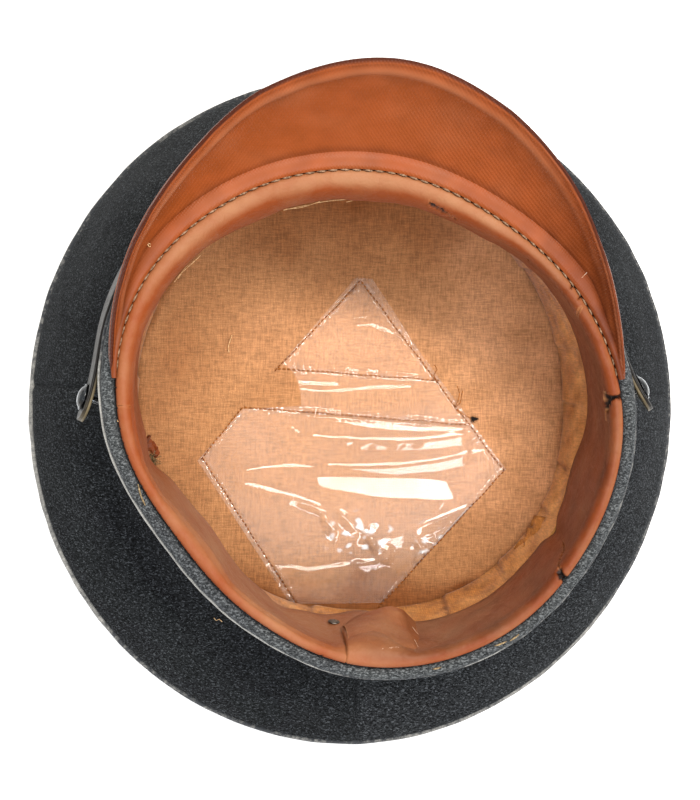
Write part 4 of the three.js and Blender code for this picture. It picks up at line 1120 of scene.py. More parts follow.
def film_height(points):
    """Height of the film above the lining, mm."""
    x, y = points.T
    flat = level(points)
    sway = 0.35 * wobble(flat, 30, 82)

    def broad(y):
        height = 0.25 + 0.05 * wobble(level(np.column_stack([x, y])), 26, 81)
        for roll in BROAD:
            t, crest = fold(roll, x, y, sway)
            height = height + t * roll["front"] * slope_to_flash(crest)
        return height

    height = broad(y)
    for roll in SHARP:
        t, crest = fold(roll, x, y, sway)
        fall = (broad(crest + 0.8) - broad(crest + 0.2)) / 0.6
        slope = np.clip(slope_to_flash(crest) + fall, 0.05, 0.5)
        height = height + t * roll["front"] * slope * (1 + 0.05 * wobble(flat, 7, 87))
    for c in CRUMPLES:
        near = np.exp(-((x - c["x"]) / c["wide"]) ** 2 - ((y - c["y"]) / c["deep"]) ** 2)
        height += c["high"] * near * (1 + wobble(flat * (1, 0.8, 1), c["size"], 83))
    lowest, pucker = np.full(len(x), 99.0), 0
    for start, end in SEAMS_OF_FILM:
        gap, far = distance_to(points, start, end)
        gather = bump(gap, 1.0, 0.9) * (0.5 + 0.5 * np.cos(2 * math.pi * far / 2.6 + 2 * wobble(flat, 6, 85)))
        pucker = np.maximum(pucker, gather * (0.4 + 0.6 * smoothstep(-0.6, 0.8, wobble(flat, 22, 86))))
        lowest = np.minimum(lowest, gap)
    return np.maximum(0.02, height * smoothstep(0, 1.0, lowest)) + 0.50 * pucker


top, left = np.array(CORNERS["top"]), np.array(CORNERS["left"])
bend = np.linspace(0, 1, 12)[:, None]
start, pull, deep = top + 0.47 * (left - top), np.array((-23.5, 16)), np.array((-23.5, 2))
notch = (1 - bend) ** 2 * start + 2 * bend * (1 - bend) * pull + bend ** 2 * deep
rest = [CORNERS[c] for c in ("left", "back_left", "back_right", "right", "shoulder", "top_right", "top")]
stretches = ([top, start], notch, [deep, top + 0.72 * (left - top), *rest])
rim = np.concatenate([finer(np.array(stretch, float), 1.1)[:-1] for stretch in stretches])
STEP = 0.62                     # between the points inside, mm
grid = np.stack(np.meshgrid(np.arange(-66, 64, STEP), np.arange(-79.4, 55, STEP)), axis=-1)
grid[::2, :, 0] += STEP / 2
grid = grid.reshape(-1, 2)
edges = list(zip(rim, np.roll(rim, -1, 0)))
clear_of_rim = np.min([distance_to(grid, a, b)[0] for a, b in edges], axis=0) > 0.55
across, along = grid.T
crossings = sum(((a[1] > along) != (b[1] > along))
                & (across < (b[0] - a[0]) * (along - a[1]) / (b[1] - a[1] + 1e-12) + a[0]) for a, b in edges)
inner = grid[clear_of_rim & (crossings % 2 == 1)]      # the way out crosses the edge an odd number of times
points = np.concatenate([rim, inner])
links = [(k, (k + 1) % len(rim)) for k in range(len(rim))]
flat_points, _, flat_faces, *_ = delaunay_2d_cdt(
    [Vector(p) for p in points], links, [list(range(len(rim)))], 1, 1e-5)
points = np.array([tuple(p) for p in flat_points])
print("film:", len(points), "points,", len(flat_faces), "triangles a face")

# %% Film piece
FILM, FILM_GAP = 0.3, 0.12      # its thickness, and how far it clears the lining, mm


def film_top(points):
    """Height of the film's upper face over flat points. Past its edge it goes on over the lining."""
    return LINING_HIGH + lining_lift(level(points)) + FILM_GAP + film_height(points) + FILM


upper = np.column_stack([points, film_top(points)])
lower = upper - (0, 0, FILM)
count = len(points)
faces = [tuple(f) for f in flat_faces] + [tuple(k + count for k in reversed(f)) for f in flat_faces]
borders = {}
for f in flat_faces:
    for a, b in zip(f, [*f[1:], f[0]]):
        borders[(a, b)] = borders.get((a, b), 0) + 1
faces += [(b, a, a + count, b + count) for a, b in borders if (b, a) not in borders]
film = piece("vinyl_sweat_shield", np.concatenate([upper, lower]), faces, vinyl)
x, y = points.T
cloud_and_painted_glints = 0.010 + 0.014 * bump(y, -48, 14) + 0.012 * smoothstep(5, 45, x)
to_seam = np.min([distance_to(points, a, b)[0] for a, b in SEAMS_OF_FILM], axis=0)
# Painted highlight: small glints along the seams and on the crushed creases, besides the rubbed and whitened
# plastic.
rubbed_and_highlight = 0.06 * bump(to_seam, 0.8, 0.8) * smoothstep(0.1, 0.9, wobble(level(points), 1.6, 88))
crushed = smoothstep(1.2, 0.6, np.hypot((x - 1) / 15, (y + 52) / 10))
crushed = crushed + smoothstep(1.2, 0.6, np.hypot((x - 31) / 7, (y + 54) / 9))
whitened_creases_and_painted_glints = 0.5 * crushed * smoothstep(0.5, 1.0, wobble(level(points) * (1, 1.5, 1), 5.0, 89))
cloud_and_painted_glints = cloud_and_painted_glints * smoothstep(5, -5, y) * smoothstep(-70, -58, y) + rubbed_and_highlight + whitened_creases_and_painted_glints
mark(film, "cloud_and_painted_glints", np.tile(cloud_and_painted_glints, 2))
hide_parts("sweat_shield")
print("film:", triangles(film), "triangles, highest", round(float(upper[:, 2].max()), 1), "mm")

# %% [markdown]
# ## Threads
# Stitches, loose threads and stray fibres are all strands: a row of points with a thickness, rounded off at
# both ends. Many strands make one piece. Linen thread is waxed and has picked up dirt, so its material is a
# pale and a dark brown mixed by fine noise, with a bump for its twist.

# %% Strands and thread material
def strands(name, paths, radius, material, sides=6):
    """Many threads in one piece. paths holds a row of points for each; radius may follow the points."""
    paths = np.asarray(paths, float)
    count, length = paths.shape[:2]
    along = np.gradient(paths, axis=1)
    along /= np.linalg.norm(along, axis=2, keepdims=True) + 1e-9
    side = np.cross(along, [0.13, 0.07, 1.0])
    side /= np.linalg.norm(side, axis=2, keepdims=True) + 1e-9
    lift = np.cross(side, along)
    turn = np.linspace(0, 2 * math.pi, sides, endpoint=False)[:, None]
    radius = np.broadcast_to(radius, (count, length))[..., None, None]
    ring = paths[:, :, None] + radius * (np.cos(turn) * side[:, :, None] + np.sin(turn) * lift[:, :, None])
    i, j = np.meshgrid(np.arange(length - 1), np.arange(sides), indexing="ij")
    corners = [(i, j), (i, (j + 1) % sides), (i + 1, (j + 1) % sides), (i + 1, j)]
    quads = np.stack([a * sides + b for a, b in corners], axis=-1).reshape(-1, 4)[:, ::-1]
    k = np.arange(sides // 2 - 1)
    end = np.stack([k, sides - 1 - k, sides - 2 - k, k + 1], axis=-1)
    quads = np.concatenate([quads, end[:, ::-1], end + (length - 1) * sides])
    a, b, c, d = (ring[0].reshape(-1, 3)[quads[:, k]] - ring[0, 0, 0] for k in range(4))
    if np.einsum("ij,ij->", a, np.cross(b, c) + np.cross(c, d)) < 0:
        quads = quads[:, ::-1]
    faces = (quads[None] + (np.arange(count) * length * sides)[:, None, None]).reshape(-1, 4)
    return piece(name, ring.reshape(-1, 3), faces, material)


def thread(name, pale, dark):
    """Spun thread, from its clean tone to its soiled one."""
    yarn = empty_material(name)
    place = node(yarn, "TexCoord").outputs["Object"]
    twist = node(yarn, "TexNoise", {"Vector": place, "Scale": grains(0.9), "Detail": 3, "Roughness": 0.7})
    dirt = node(yarn, "MapRange", {"Value": twist, "From Min": 0.38, "From Max": 0.62})
    colour = node(yarn, "MixRGB", {"Fac": dirt, "Color1": linear(pale), "Color2": linear(dark)})
    relief = node(yarn, "Bump", {"Height": twist, "Strength": 0.4, "Distance": 0.0002})
    shader = node(yarn, "BsdfPrincipled", {
        "Base Color": colour, "Roughness": 0.75, "Specular IOR Level": 0.12, "Normal": relief})
    node(yarn, "OutputMaterial", {"Surface": shader})
    return yarn


linen = thread("waxed_linen_thread", "967860", "54402f")
brown_cotton = thread("brown_sewing_cotton", "a8601c", "54290b")
pale_finish = thread("flaked_leather_finish", "ecd3bd", "b98f70")
black_cotton = thread("black_sewing_cotton", "24201e", "100e0d")
tan_silk = thread("tan_button_thread", "9c8765", "5a4a34")
wool_fibre = thread("loose_wool_fibres", "4f5255", "1e2022")
pale_cotton = thread("frayed_pale_cotton", "e6c596", "b98b5a")


def stitches(place, total, pitch, share, radius, dip):
    """Stitches along a line. place(distance, sink) gives its points; each end of a stitch sinks by dip mm."""
    starts = np.arange(0, total - pitch, pitch)[:, None]
    t = np.linspace(0, 1, 7)[None, :]
    arch = np.sin(math.pi * t)
    paths = place(starts + pitch * (1 - share) / 2 + pitch * share * t, dip * (1 - arch) ** 2)
    return paths, radius * (0.55 + 0.45 * arch)


print("threads:", ", ".join(yarn.name for yarn in (linen, brown_cotton, black_cotton, tan_silk, pale_cotton)))

# %% [markdown]
# ## Sewing
# Three kinds of seam show. The visor and the sweatband are sewn in together with thick linen, 4 mm to a
# stitch; each stitch slants a little, so the row looks like a thin rope in the groove. The film is sewn
# through the lining with brown cotton, 2 mm to a stitch. Behind the visor the leather is caught to the wool
# with small dark stitches, and a few tan ones tack the turned wool down.

# %% Visor seam
seam_angles = np.linspace(11.5, 168.5, 800)
seam_line = band_point(seam_angles, -7.3, 2.2)
gone = np.concatenate([[0], np.linalg.norm(np.diff(seam_line, axis=0), axis=1).cumsum()])


LINEN_PITCH = 4.1


def on_visor_seam(distance, sink):
    at = np.interp(distance, gone, seam_angles)
    across = 0.32 * (distance % LINEN_PITCH / LINEN_PITCH - 0.5)
    across = across + 0.06 * wobble(np.stack([distance, 0 * distance, 0 * distance], -1), 9, 91)
    return band_point(at, -7.4 + across, 1.95 - 0.4 * smoothstep(60, 25, at) - sink)


paths, radius = stitches(on_visor_seam, gone[-1], LINEN_PITCH, 0.78, 0.35, 1.2)
visor_seam = strands("visor_seam_stitches", paths, radius, linen, sides=8)
print("visor seam:", len(paths), "stitches,", triangles(visor_seam), "triangles")

# %% Film seams
paths, radii = [], []
for start, end in SEAMS_OF_FILM:
    start, way = np.array(start, float), np.array(end, float) - np.array(start, float)
    total = np.linalg.norm(way)
    across = np.array([-way[1], way[0]]) / total

    def on_film(distance, sink):
        drift = 0.22 * wobble(np.stack([distance, 0 * distance + start[0], 0 * distance], -1), 14, 92)
        flat = start + (distance / total)[..., None] * way + drift[..., None] * across
        height = film_top(flat.reshape(-1, 2)).reshape(distance.shape) + 0.16 - sink
        return np.concatenate([flat, height[..., None]], -1)

    row, radius = stitches(on_film, total + 2, 2.0, 0.62, 0.26, 0.5)
    paths.append(row)
    radii.append(np.broadcast_to(radius, row.shape[:2]))
film_seams = strands("sweat_shield_stitches", np.concatenate(paths), np.concatenate(radii), brown_cotton)
print("film seams:", sum(map(len, paths)), "stitches,", triangles(film_seams), "triangles")

# %% Stitches behind the visor
draw = np.random.default_rng(94)
at = np.concatenate([np.arange(171.5, 262, 3.1), np.arange(283, 356, 4.2)])
at = (at + draw.uniform(-1.0, 1.0, len(at)))[:, None]
slant = draw.uniform(0.1, 0.9, at.shape)
t = np.linspace(0, 1, 7)[None, :]
over_gap = band_point(at + slant * t, -6.7 - 1.3 * t, 0.1 + 0.45 * np.sin(math.pi * t) + 0.6 * t)
catch = strands("catch_stitches", over_gap, 0.17 * (0.6 + 0.4 * np.sin(math.pi * t)), black_cotton)
TACKS = [       # angle, mm out from the mouth's edge, length and lean, mm
    (285.7, -4.9, 3.4, 0.0), (301.0, -4.9, 4.8, 0.4), (304.3, -4.1, 4.4, -0.1), (195.7, -5.6, 6.2, 0.75),
    (198.0, -4.9, 4.4, 0.3)]
arch = 0.10 + 0.30 * np.sin(math.pi * t)
paths = np.concatenate([band_point(a + np.degrees(length / 98) * (t - 0.5), out + lean * (t - 0.5) * 2, arch)
                        for a, out, length, lean in TACKS])
tacks = strands("tan_tacking_stitches", paths, 0.34 * (0.5 + 0.5 * np.sin(math.pi * t)), tan_silk, sides=8)
print(len(at), "catch stitches and", len(TACKS), "tacks,", triangles(catch) + triangles(tacks), "triangles")

# %% [markdown]
# ## The back flap and its eyelet
# The strip's two ends overlap at the back. The upper end has come away from its glue: it stands off the
# leather below it and curls in over the lining, and on its right it creases and goes back to the leather. A
# small net of points gives its shape, and a smooth surface runs through the net.
# A small grey eyelet head, of nickel-plated brass gone dull, holds the lower end. It and the buttons below
# are turned shapes: a short profile carried round an axis.

# %% Flap and eyelet
def turned(name, profile, place, axis, material, sides):
    """A turned shape. profile lists radius and height from the middle of its back to that of its front."""
    profile = np.array(profile, float)
    axis = np.asarray(axis, float) / np.linalg.norm(axis)
    side = np.cross(axis, [0.3, 0.2, 0.9])
    side /= np.linalg.norm(side)
    turn = np.linspace(0, 2 * math.pi, sides, endpoint=False)[:, None, None]
    spoke = np.cos(turn) * side + np.sin(turn) * np.cross(axis, side)
    grid = place + profile[None, :, :1] * spoke + profile[None, :, 1:] * axis
    columns = len(profile)
    i, j = np.meshgrid(np.arange(sides), np.arange(columns - 1), indexing="ij")
    here, next_one = i * columns + j, (i + 1) % sides * columns + j
    quads = np.stack([here, next_one, next_one + 1, here + 1], -1).reshape(-1, 4)
    ring = np.arange(sides) * columns
    faces = [*quads.tolist(), ring[::-1].tolist(), (ring + columns - 1).tolist()]
    return piece(name, grid.reshape(-1, 3), faces, material)


def run_through(points, count=7):
    """A smooth row of points through a few given ones, or a row of such rows."""
    points = np.asarray(points, float)
    points = np.concatenate([2 * points[:1] - points[1:2], points, 2 * points[-1:] - points[-2:-1]])
    t = np.linspace(0, len(points) - 3, count)
    k = np.minimum(t.astype(int), len(points) - 4)
    f = (t - k).reshape(-1, *[1] * (points.ndim - 1))
    return smooth_between(*(points[k + n] for n in range(4)), f)


def through(net, rows, columns):
    """A smooth surface through a small net of points."""
    return run_through(run_through(net, rows).swapaxes(0, 1), columns).swapaxes(0, 1)


def on_leather(*places):
    return [over_leather(np.array([a]), d, off)[0] for a, d, off in places]


NET = [     # from the left edge over the crease to the right; each column runs from the roll to the loose end
    [*on_leather((265.0, 0.0, -0.5), (265.0, 0.12, 0.9), (265.0, 0.42, 2.2)), (-10.3, -83.4, 43)],
    [*on_leather((269.0, 0.0, -0.5), (269.0, 0.12, 1.0), (269.0, 0.46, 2.6)), (-4.7, -79.9, 41.5)],
    [*on_leather((273.5, 0.0, -0.5), (273.5, 0.12, 1.0), (273.5, 0.50, 3.0)), (1.6, -77.8, 41)],
    [*on_leather((278.0, 0.0, -0.5), (278.0, 0.12, 1.1), (278.0, 0.50, 3.6)), (8.6, -76.2, 41)],
    [*on_leather((281.4, 0.0, -0.5), (281.4, 0.15, 1.0), (281.2, 0.50, 3.6)), (13.0, -77.8, 40)],
    [*on_leather((284.2, 0.05, -0.7), (284.4, 0.25, -0.7), (284.8, 0.6, -0.6), (285.2, 1.0, -0.3))]]
FLAP_ROWS, FLAP_COLUMNS, LAST_SIDE = 66, 44, 5
flap = through(NET, FLAP_ROWS, FLAP_COLUMNS)
side, g = np.linspace(0, LAST_SIDE, FLAP_ROWS)[:, None], np.linspace(0, 1, FLAP_COLUMNS)[None, :]
normal = sheet_normals(flap, False)
normal *= np.sign((normal * -polar(272, 1, -1)).sum(axis=-1).mean())
soft = 0.16 * wobble(flap, 12, 95) + 0.06 * wobble(flap, 5, 96)
stands_off = (soft + 0.5 * bump(side, 4.1, 0.28) * g) * smoothstep(0, 0.3, g) * smoothstep(5, 4.4, side)
flap = flap + stands_off[..., None] * normal
flap_piece = sheet("sweatband_back_flap", flap, 1.1 - 0.5 * smoothstep(0.92, 1, g) + 0 * side, sheepskin)
mark_sheet(flap_piece, "wear_and_highlight", 0.50 + 0.3 * (1 - g) + 0.5 * soft + 0 * side)
mark_sheet(flap_piece, "dirt_and_shade", 0.10 * bump(side, 0, 0.1) + 0.08 * g - 0.3 * soft)
mark_sheet(flap_piece, "torn", 0.35 * bump(side, 0, 0.05) + 0 * g)
flap_face = flap + 0.66 * normal                                # where its cracks lie
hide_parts("sweatband_back_tab")

old_nickel = empty_material("tarnished_nickel")
place = node(old_nickel, "TexCoord").outputs["Object"]
spots = node(old_nickel, "TexNoise", {"Vector": place, "Scale": grains(1.6), "Detail": 4, "Roughness": 0.7})
amount = node(old_nickel, "MapRange", {"Value": spots, "From Min": 0.45, "From Max": 0.62})
colour = node(old_nickel, "MixRGB", {"Fac": amount, "Color1": linear("6b655e"), "Color2": linear("3a2f26")})
dull = node(old_nickel, "MapRange", {"Value": spots, "To Min": 0.28, "To Max": 0.6})
shader = node(old_nickel, "BsdfPrincipled", {"Base Color": colour, "Metallic": 1.0, "Roughness": dull})
node(old_nickel, "OutputMaterial", {"Surface": shader})

seat, above = on_leather((262.9, 0.72, 0.9), (262.9, 0.72, 1.9))
EYELET = [      # radius and height, mm
    (0.01, -1.2), (1.3, -1.2), (1.3, -0.2), (2.2, -0.1), (2.4, 0.1), (2.3, 0.35), (1.9, 0.6), (1.4, 0.75),
    (0.9, 0.7), (0.55, 0.45), (0.3, 0.3), (0.01, 0.25)]
eyelet = turned("sweatband_eyelet", EYELET, seat, above - seat, old_nickel, sides=36)
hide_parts("sweatband_rivet")
print("flap:", triangles(flap_piece), "triangles; eyelet", triangles(eyelet))

# %% [markdown]
# ## Chin strap and buttons
# The strap is two thin leathers glued back to back, black patent outside and plain tan inside. It runs round
# the band under the visor and its ends stand off the band, so from above it is seen edge-on: a dark line and
# a tan line with a groove between. The ends are round, and each is held by a domed button of nickel-plated
# brass. The plate has gone dark. Its colour is also painted dark as a reflection of the dark wool, and
# painted bright at a grazing angle as a reflection of the room.

# %% Chin strap
STRAP = dict(out=0.35, lean=0.14, up=-14, start=2, stop=180, round_end=4, button_back=4.5)
HALF_WIDTH = 7
FLARES = [(2, 15, 7), (180, 16.5, 7.8)]         # each end: its angle, how many degrees stand off, and mm


def strap_point(angle, up):
    """A place on the strap's middle surface, up mm above its middle line."""
    flare = sum(by * np.maximum(0, 1 - abs(angle - tip) / degrees) ** 2.4 for tip, degrees, by in FLARES)
    return band_point(angle, STRAP["out"] + flare - STRAP["lean"] * np.asarray(up), STRAP["up"] + up)


near_end = STRAP["round_end"] * (1 - np.cos(np.linspace(0, math.pi / 2, 18)))
angle = [STRAP["start"] + near_end, np.arange(6.3, 176, 0.75), STRAP["stop"] - near_end]
angle = np.unique(np.concatenate(angle))[:, None]
half = [        # upper half of the section, mm outwards and up, with the groove between the two leathers
    (1.05, 0), (1.05, 2.2), (1.05, 4.4), (1.05, 6.3), (0.9, 6.8), (0.55, 7.0), (0.2, 6.95), (0.02, 6.75),
    (-0.15, 6.9), (-0.55, 6.9), (-0.9, 6.7), (-1.05, 6.2), (-1.05, 3.2), (-1.05, 0)]
section = np.array(half + [(n, -u) for n, u in half[-2:0:-1]])
n, u = section.T
from_end = np.minimum(angle - STRAP["start"], STRAP["stop"] - angle) + 0.06
full = np.sqrt(np.clip(1 - (1 - np.clip(from_end / STRAP["round_end"], 0, 1)) ** 2, 0, 1))
line = strap_point(angle, HALF_WIDTH * full * (u / HALF_WIDTH)[None, :])
spine = strap_point(angle, 0)
along = np.gradient(spine, axis=0)
outwards = np.cross(along, strap_point(angle, 1) - strap_point(angle, -1))
outwards /= np.linalg.norm(outwards, axis=2, keepdims=True)
outwards *= np.sign((outwards * polar(angle, 1, 0)).sum(axis=-1).mean())
warp = 0.25 * wobble(spine, 40, 101)[..., None]
patent = tanned_leather("black_patent_strap_leather", "15120f", "62563f", "0c0a09", 1.0, 0.40)
strap = skin("patent_chin_strap", line + (n[None, :, None] + warp) * outwards, patent, tube=True)
tan_side = smoothstep(0.15, -0.3, n)[None, :] * np.ones_like(angle)
worn_edge = (abs(u) > 6.0)[None, :] * (0.25 + 0.25 * np.maximum(0, wobble(line, 12, 102)))
at_tips = smoothstep(14, 3, np.minimum(angle - STRAP["start"], STRAP["stop"] - angle))
wear_and_highlight = tan_side * (0.15 + 0.45 * at_tips) + worn_edge * (0.25 + 1.1 * at_tips) - 0.35 * (1 - tan_side)
mark(strap, "wear_and_highlight", np.clip(wear_and_highlight, -0.4, 1))
dirt_and_shade = 0.4 * (abs(n) < 0.12)[None, :] + 0.15 * np.maximum(0, wobble(line, 9, 103))
mark(strap, "dirt_and_shade", np.clip(dirt_and_shade, 0, 1))
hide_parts("chin_strap")
strap_long = float(np.linalg.norm(np.diff(spine[:, 0], axis=0), axis=1).sum())
print("strap:", triangles(strap), "triangles,", round(strap_long), "mm long")

# %% Side buttons
nickel = empty_material("tarnished_nickel_with_painted_reflection")
place = node(nickel, "TexCoord").outputs["Object"]
pebbles = node(nickel, "TexVoronoi", {"Vector": place, "Scale": grains(1.1)})
tarnish = node(nickel, "TexNoise", {"Vector": place, "Scale": grains(3), "Detail": 5, "Roughness": 0.65})
# Painted reflection: the colour is pale grey at a grazing angle and dark elsewhere, as tarnish and as a
# reflection of the dark wool.
edge_on = node(nickel, "LayerWeight", {"Blend": 0.5})
painted_edge_glint = node(nickel, "MapRange", {"Value": edge_on.outputs["Facing"], "From Min": 0.68, "From Max": 0.92})
amount = node(nickel, "MapRange", {"Value": tarnish, "From Min": 0.35, "From Max": 0.65})
tarnish_and_painted_dark_reflection = node(nickel, "MixRGB", {"Fac": amount, "Color1": linear("3f4245"), "Color2": linear("2a2826")})
colour = node(nickel, "MixRGB", {"Fac": painted_edge_glint, "Color1": tarnish_and_painted_dark_reflection, "Color2": linear("a4abb3")})
dull = node(nickel, "MapRange", {"Value": tarnish, "To Min": 0.14, "To Max": 0.40})
relief = node(nickel, "Bump", {"Height": pebbles.outputs["Distance"], "Strength": 0.3, "Distance": 0.0003})
shader = node(nickel, "BsdfPrincipled", {
    "Base Color": colour, "Metallic": 1.0, "Roughness": dull, "Normal": relief})
node(nickel, "OutputMaterial", {"Surface": shader})

BUTTON = [      # radius and height, mm: the shank, the rim and the dome
    (0.01, -4.2), (1.2, -4.2), (1.2, 1.4), (4.3, 1.4), (4.9, 1.5), (5.05, 1.7), (5.0, 2.0), (4.75, 2.2),
    (4.45, 2.1), (4.2, 2.25), (3.8, 2.7), (3.2, 3.15), (2.4, 3.5), (1.6, 3.75), (0.8, 3.85), (0.01, 3.85)]
BUTTONS = dict(left=STRAP["stop"] - STRAP["button_back"], right=STRAP["start"] + STRAP["button_back"])
for side, at in BUTTONS.items():
    at = np.array([[at]])
    back, ahead = strap_point(at - 1, 0)[0, 0], strap_point(at + 1, 0)[0, 0]
    axis = np.cross(ahead - back, (strap_point(at, 1) - strap_point(at, -1))[0, 0])
    button = turned("domed_button_" + side, BUTTON, strap_point(at, 0)[0, 0], axis, nickel, sides=56)
    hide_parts("side_button_" + side)
print("two buttons of", round(2 * max(radius for radius, _ in BUTTON), 1), "mm")

# %% [markdown]
# ## Loose ends
# A cap of this age sheds. Fibres stand out of the wool, blur its outline and catch the light as pale flecks.
# They are drawn thicker than life, 0.08 mm against 0.02 mm, so that they show. There are also a tuft of
# thread where the film's seam was started, a knot of black thread, lint on the wool, loose tan threads along
# the sweatband's front edge, cracks in the finish of the flap and of the visor's root, and two torn scraps:
# leather and stiffener on the left, and the lining's corner on the right.

# %% Wool fibres
CROWN_FIBRES, RING_FIBRES, FIBRE_RADIUS = 5200, 4400, 0.040


def fuzz(name, places, normals, count, length, seed):
    """Short curved fibres that lie over a surface, from grids of its points and its outward normals."""
    draw = np.random.default_rng(seed)
    rows, columns = places.shape[0] - 1, places.shape[1] - 1
    i, j = draw.uniform(0, rows, count), draw.uniform(0, columns, count)
    a, b = i.astype(int), j.astype(int)
    f, g = (i - a)[:, None], (j - b)[:, None]
    root = (places[a, b] * (1 - f) + places[a + 1, b] * f) * (1 - g)
    root = root + (places[a, b + 1] * (1 - f) + places[a + 1, b + 1] * f) * g
    up = normals[a, b]
    way = draw.normal(size=(count, 3))
    way -= (way * up).sum(axis=1, keepdims=True) * up
    way /= np.linalg.norm(way, axis=1, keepdims=True)
    bend = np.cross(way, up) * draw.uniform(-0.3, 0.3, (count, 1))
    long = length * draw.uniform(0.5, 1.5, (count, 1))
    lean = draw.uniform(0.05, 0.35, (count, 1))
    halfway, tip = 0.5 * way + bend * 0.5 + lean * up, way + lean * 1.2 * up
    paths = np.stack([root, root + long * halfway, root + long * tip], axis=1)
    return strands(name, paths, FIBRE_RADIUS * np.array([1.0, 0.9, 0.4]), wool_fibre, sides=4)


places, normals = [], []
for panel in PANELS:
    out = -sheet_normals(panel, False)
    out *= np.sign((out * panel * (1, 1, 0)).sum(axis=-1).mean())
    places.append(panel[:, :30] + 0.95 * out[:, :30])           # the part that the band doesn't hide
    normals.append(out[:, :30])
fuzz("crown_wool_fibres", np.concatenate(places), np.concatenate(normals), CROWN_FIBRES, 1.1, 111)
fuzz("ring_wool_fibres", *RING, RING_FIBRES, 0.8, 112)
print("wool fibres:", CROWN_FIBRES + RING_FIBRES)

# %% Threads, lint and cracks
def film_at(x, y):
    """A place on the film's upper face."""
    return x, y, float(film_top(np.array([[x, y]], float))[0])


# Loose ends of the film's brown thread: the first place lies on the film, the rest is in mm.
TUFT = [
    [film_at(40.6, 1.2), (41.2, 4.0, 9.0), (41.6, 7.0, 10.5), (40.7, 10.2, 10.0)],
    [film_at(40.6, 1.2), (42.4, 3.2, 7.5), (42.6, 6.0, 9.2), (43.6, 8.2, 7.0)],
    [film_at(33.0, 12.6), (31.6, 14.8, 6.2), (32.8, 17.0, 7.0), (31.8, 19.0, 6.2)],
    [film_at(41.0, 0.4), (43.0, -1.0, 6.0), (45.5, -2.4, 5.6), (47.4, -3.3, 5.2)]]
strands("seam_thread_tuft", [run_through(path) for path in TUFT], 0.16, brown_cotton)

draw = np.random.default_rng(121)
KNOT_AT = np.array([48.6, -3.5, 5.2])


def tangle():
    """One turn of the black knot, from its middle through three places near it."""
    spread = [draw.normal(0, size, 3) * (1, 1, low) for size, low in ((0.5, 0.4), (0.7, 0.3), (0.7, 0.3))]
    return run_through([KNOT_AT, *(KNOT_AT + (0, 0, up) + away for up, away in zip((0.2, 0, 0.1), spread))])


strands("black_thread_knot", [tangle() for _ in range(22)], 0.15, black_cotton)
FRAYED = [      # tan threads along the sweatband's front edge, mm
    [(-31, 82.2, 7.5), (-22, 84.5, 6.2), (-12, 86.4, 7.0), (-3, 87.2, 6.8)],
    [(-41, 79, 7.5), (-33, 82.5, 5.6), (-24, 83.5, 6.4), (-16, 86, 7.2)],
    [(-75.4, 52.4, 7), (-72.8, 56, 6.2), (-70.3, 58.2, 6.8), (-66.4, 62, 7)],
    [(-73.8, 54, 6.6), (-70.8, 58.6, 6), (-68.3, 60, 6.6), (-64.8, 63.4, 7)],
    [(-52, 31, 4.8), (-52.8, 28.6, 5.2), (-53.4, 26.5, 5.4), (-53.2, 24, 4.9)],
    [(-5, 86, 7), (2, 87.6, 6.2), (9, 87, 7), (15, 88, 7)]]
strands("frayed_lining_threads", [run_through(path, 12) for path in FRAYED], 0.16, pale_cotton)

LINT_ON_MOUTH = [               # angle, mm out and up from the mouth's edge, and size
    (141.0, -1.6, 3.3, 0.9), (128.2, 6.9, 6.2, 0.8), (45.2, 1.1, 3.4, 0.7), (104, 14, 9, 0.5),
    (178.6, -7.4, 0.6, 0.6)]
LINT_ON_CROWN = [               # place in mm, and size
    ((-59.1, -82.6, 21.6), 0.1), ((-88.9, 85.3, 22.9), 0.7), ((121.9, -8, 14), 0.6), ((-121, 44, 12), 0.5),
    ((-96, -70, 14), 0.6), ((20, -122, 12), 0.6)]
lint = [(band_point(np.array(a), o, u), size) for a, o, u, size in LINT_ON_MOUTH] + LINT_ON_CROWN
specks = [run_through([np.array(p) + draw.normal(0, 0.6 * size, 3) * (1, 1, 0.15) for _ in range(4)])
          for p, size in lint]
specks[len(LINT_ON_MOUTH)] = run_through([              # the longest one, a curl of thread
    (-59.6, -82.2, 21.2), (-58.6, -83.4, 21.8), (-57.4, -82.9, 21.7), (-56.2, -84.0, 21.5)])
strands("lint", specks, 0.13, pale_cotton)


def on_flap(side_at, g_at):
    """A place on the flap's face, from its side and from how far down it is, from 0 to 1."""
    i, j = side_at / LAST_SIDE * (FLAP_ROWS - 1), g_at * (FLAP_COLUMNS - 1)
    a, b = min(int(i), FLAP_ROWS - 2), min(int(j), FLAP_COLUMNS - 2)
    near = flap_face[a, b] * (1 - i + a) + flap_face[a + 1, b] * (i - a)
    far = flap_face[a, b + 1] * (1 - i + a) + flap_face[a + 1, b + 1] * (i - a)
    return near * (1 - j + b) + far * (j - b)


FLAP_CRACKS = [
    [(2.45, 0.31), (2.85, 0.32), (3.1, 0.26), (3.5, 0.21), (4.0, 0.20)],
    [(1.95, 0.28), (2.2, 0.31), (2.5, 0.30)],
    [(4.5, 0.76), (4.62, 0.70), (4.8, 0.64)], [(4.28, 0.48), (4.36, 0.42), (4.34, 0.37), (4.42, 0.30)],
    [(4.3, 0.28), (4.5, 0.30), (4.7, 0.27)], [(4.85, 0.36), (4.92, 0.34), (5.0, 0.35)]]
VISOR_CRACK = [(36.0, -6.4, 2.7), (36.3, -4.2, 3.1), (36.5, -2.2, 3.1), (36.8, 0.2, 3.2)]      # on the flange
cracks = [[on_flap(*place) for place in crack] for crack in FLAP_CRACKS]
cracks += [[band_point(np.array(a), o, u) for a, o, u in VISOR_CRACK]]
strands("cracked_finish", [run_through(crack, 9) for crack in cracks], 0.07, pale_finish)
print("frayed threads:", len(FRAYED), "specks of lint:", len(specks), "cracks:", len(cracks))

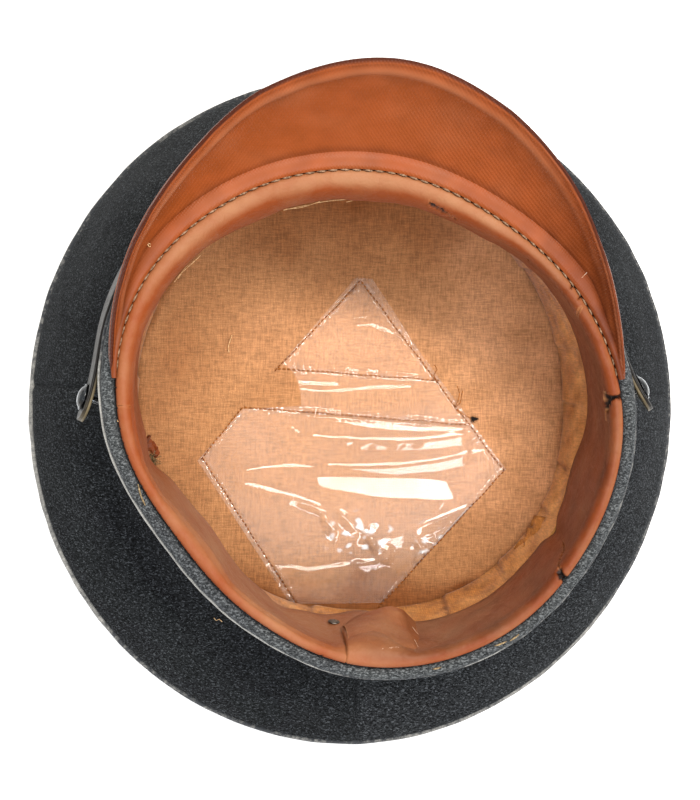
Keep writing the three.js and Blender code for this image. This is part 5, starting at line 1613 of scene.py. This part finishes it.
# %% Torn scraps
CURL_NET = [                    # leather, left of the tear, mm
    [(-86.6, -10.4, 37), (-86.4, -12.6, 36), (-86.0, -14.6, 37)],
    [(-84.6, -10.8, 30), (-84.4, -13.2, 28), (-84.2, -15.4, 29)],
    [(-82.6, -13.4, 23), (-82.4, -15.4, 21), (-83.0, -17.2, 22)],
    [(-82.4, -15.0, 15), (-81.4, -17.0, 14), (-82.6, -18.2, 16)]]
CORNER_NET = [                  # cotton, where the pleats have come loose, mm
    [(65.0, -57.2, 9), (70.5, -50.3, 10), (73.0, -43.2, 10)],
    [(69.4, -60.7, 17), (75.6, -52.3, 23), (78.0, -45.7, 17)],
    [(71.2, -63.3, 20), (79.6, -56.7, 29), (81.0, -49.3, 23)]]


def scrap(name, net, thick, material):
    """A torn bit of cloth or leather, with a frayed, darker edge."""
    grid = through(net, 16, 16)
    grid = grid + 0.7 * np.stack([wobble(grid, 4.5, seed) for seed in (131, 133, 134)], axis=-1)
    made = sheet(name, grid, thick, material)
    to_end = np.minimum(np.arange(16), 15 - np.arange(16))
    frayed = smoothstep(1.5, 0, np.minimum(to_end[:, None], to_end[None, :]))
    mark(made, "stain_and_shade", both_faces(0.15 + 0.4 * wobble(grid, 3.5, 135) + 0.7 * frayed))
    return made


curl = scrap("torn_leather_curl", CURL_NET, 0.8, sheepskin)
along = np.linspace(0, 9, len(curl.data.vertices))[:, None] * (1, 0, 0)
mark(curl, "dirt_and_shade", 0.35 + 0.3 * wobble(along, 3, 132))
frayed_buckram = thread("frayed_buckram", "84704f", "3a2c1c")
TEAR = (((-84.4, -19, 34), 1.1), ((-84.2, -19, 31), 1.5), ((-84.0, -19.2, 28), 1.6))   # place, spread, mm
tear = [run_through([np.array(p) + draw.normal(0, spread, 3) for p, spread in TEAR], 7) for _ in range(40)]
strands("frayed_stiffener_threads", tear, 0.14, frayed_buckram)
corner = scrap("torn_lining_corner", CORNER_NET, 0.7, side_cotton)
print("scraps:", curl.name + ",", corner.name)
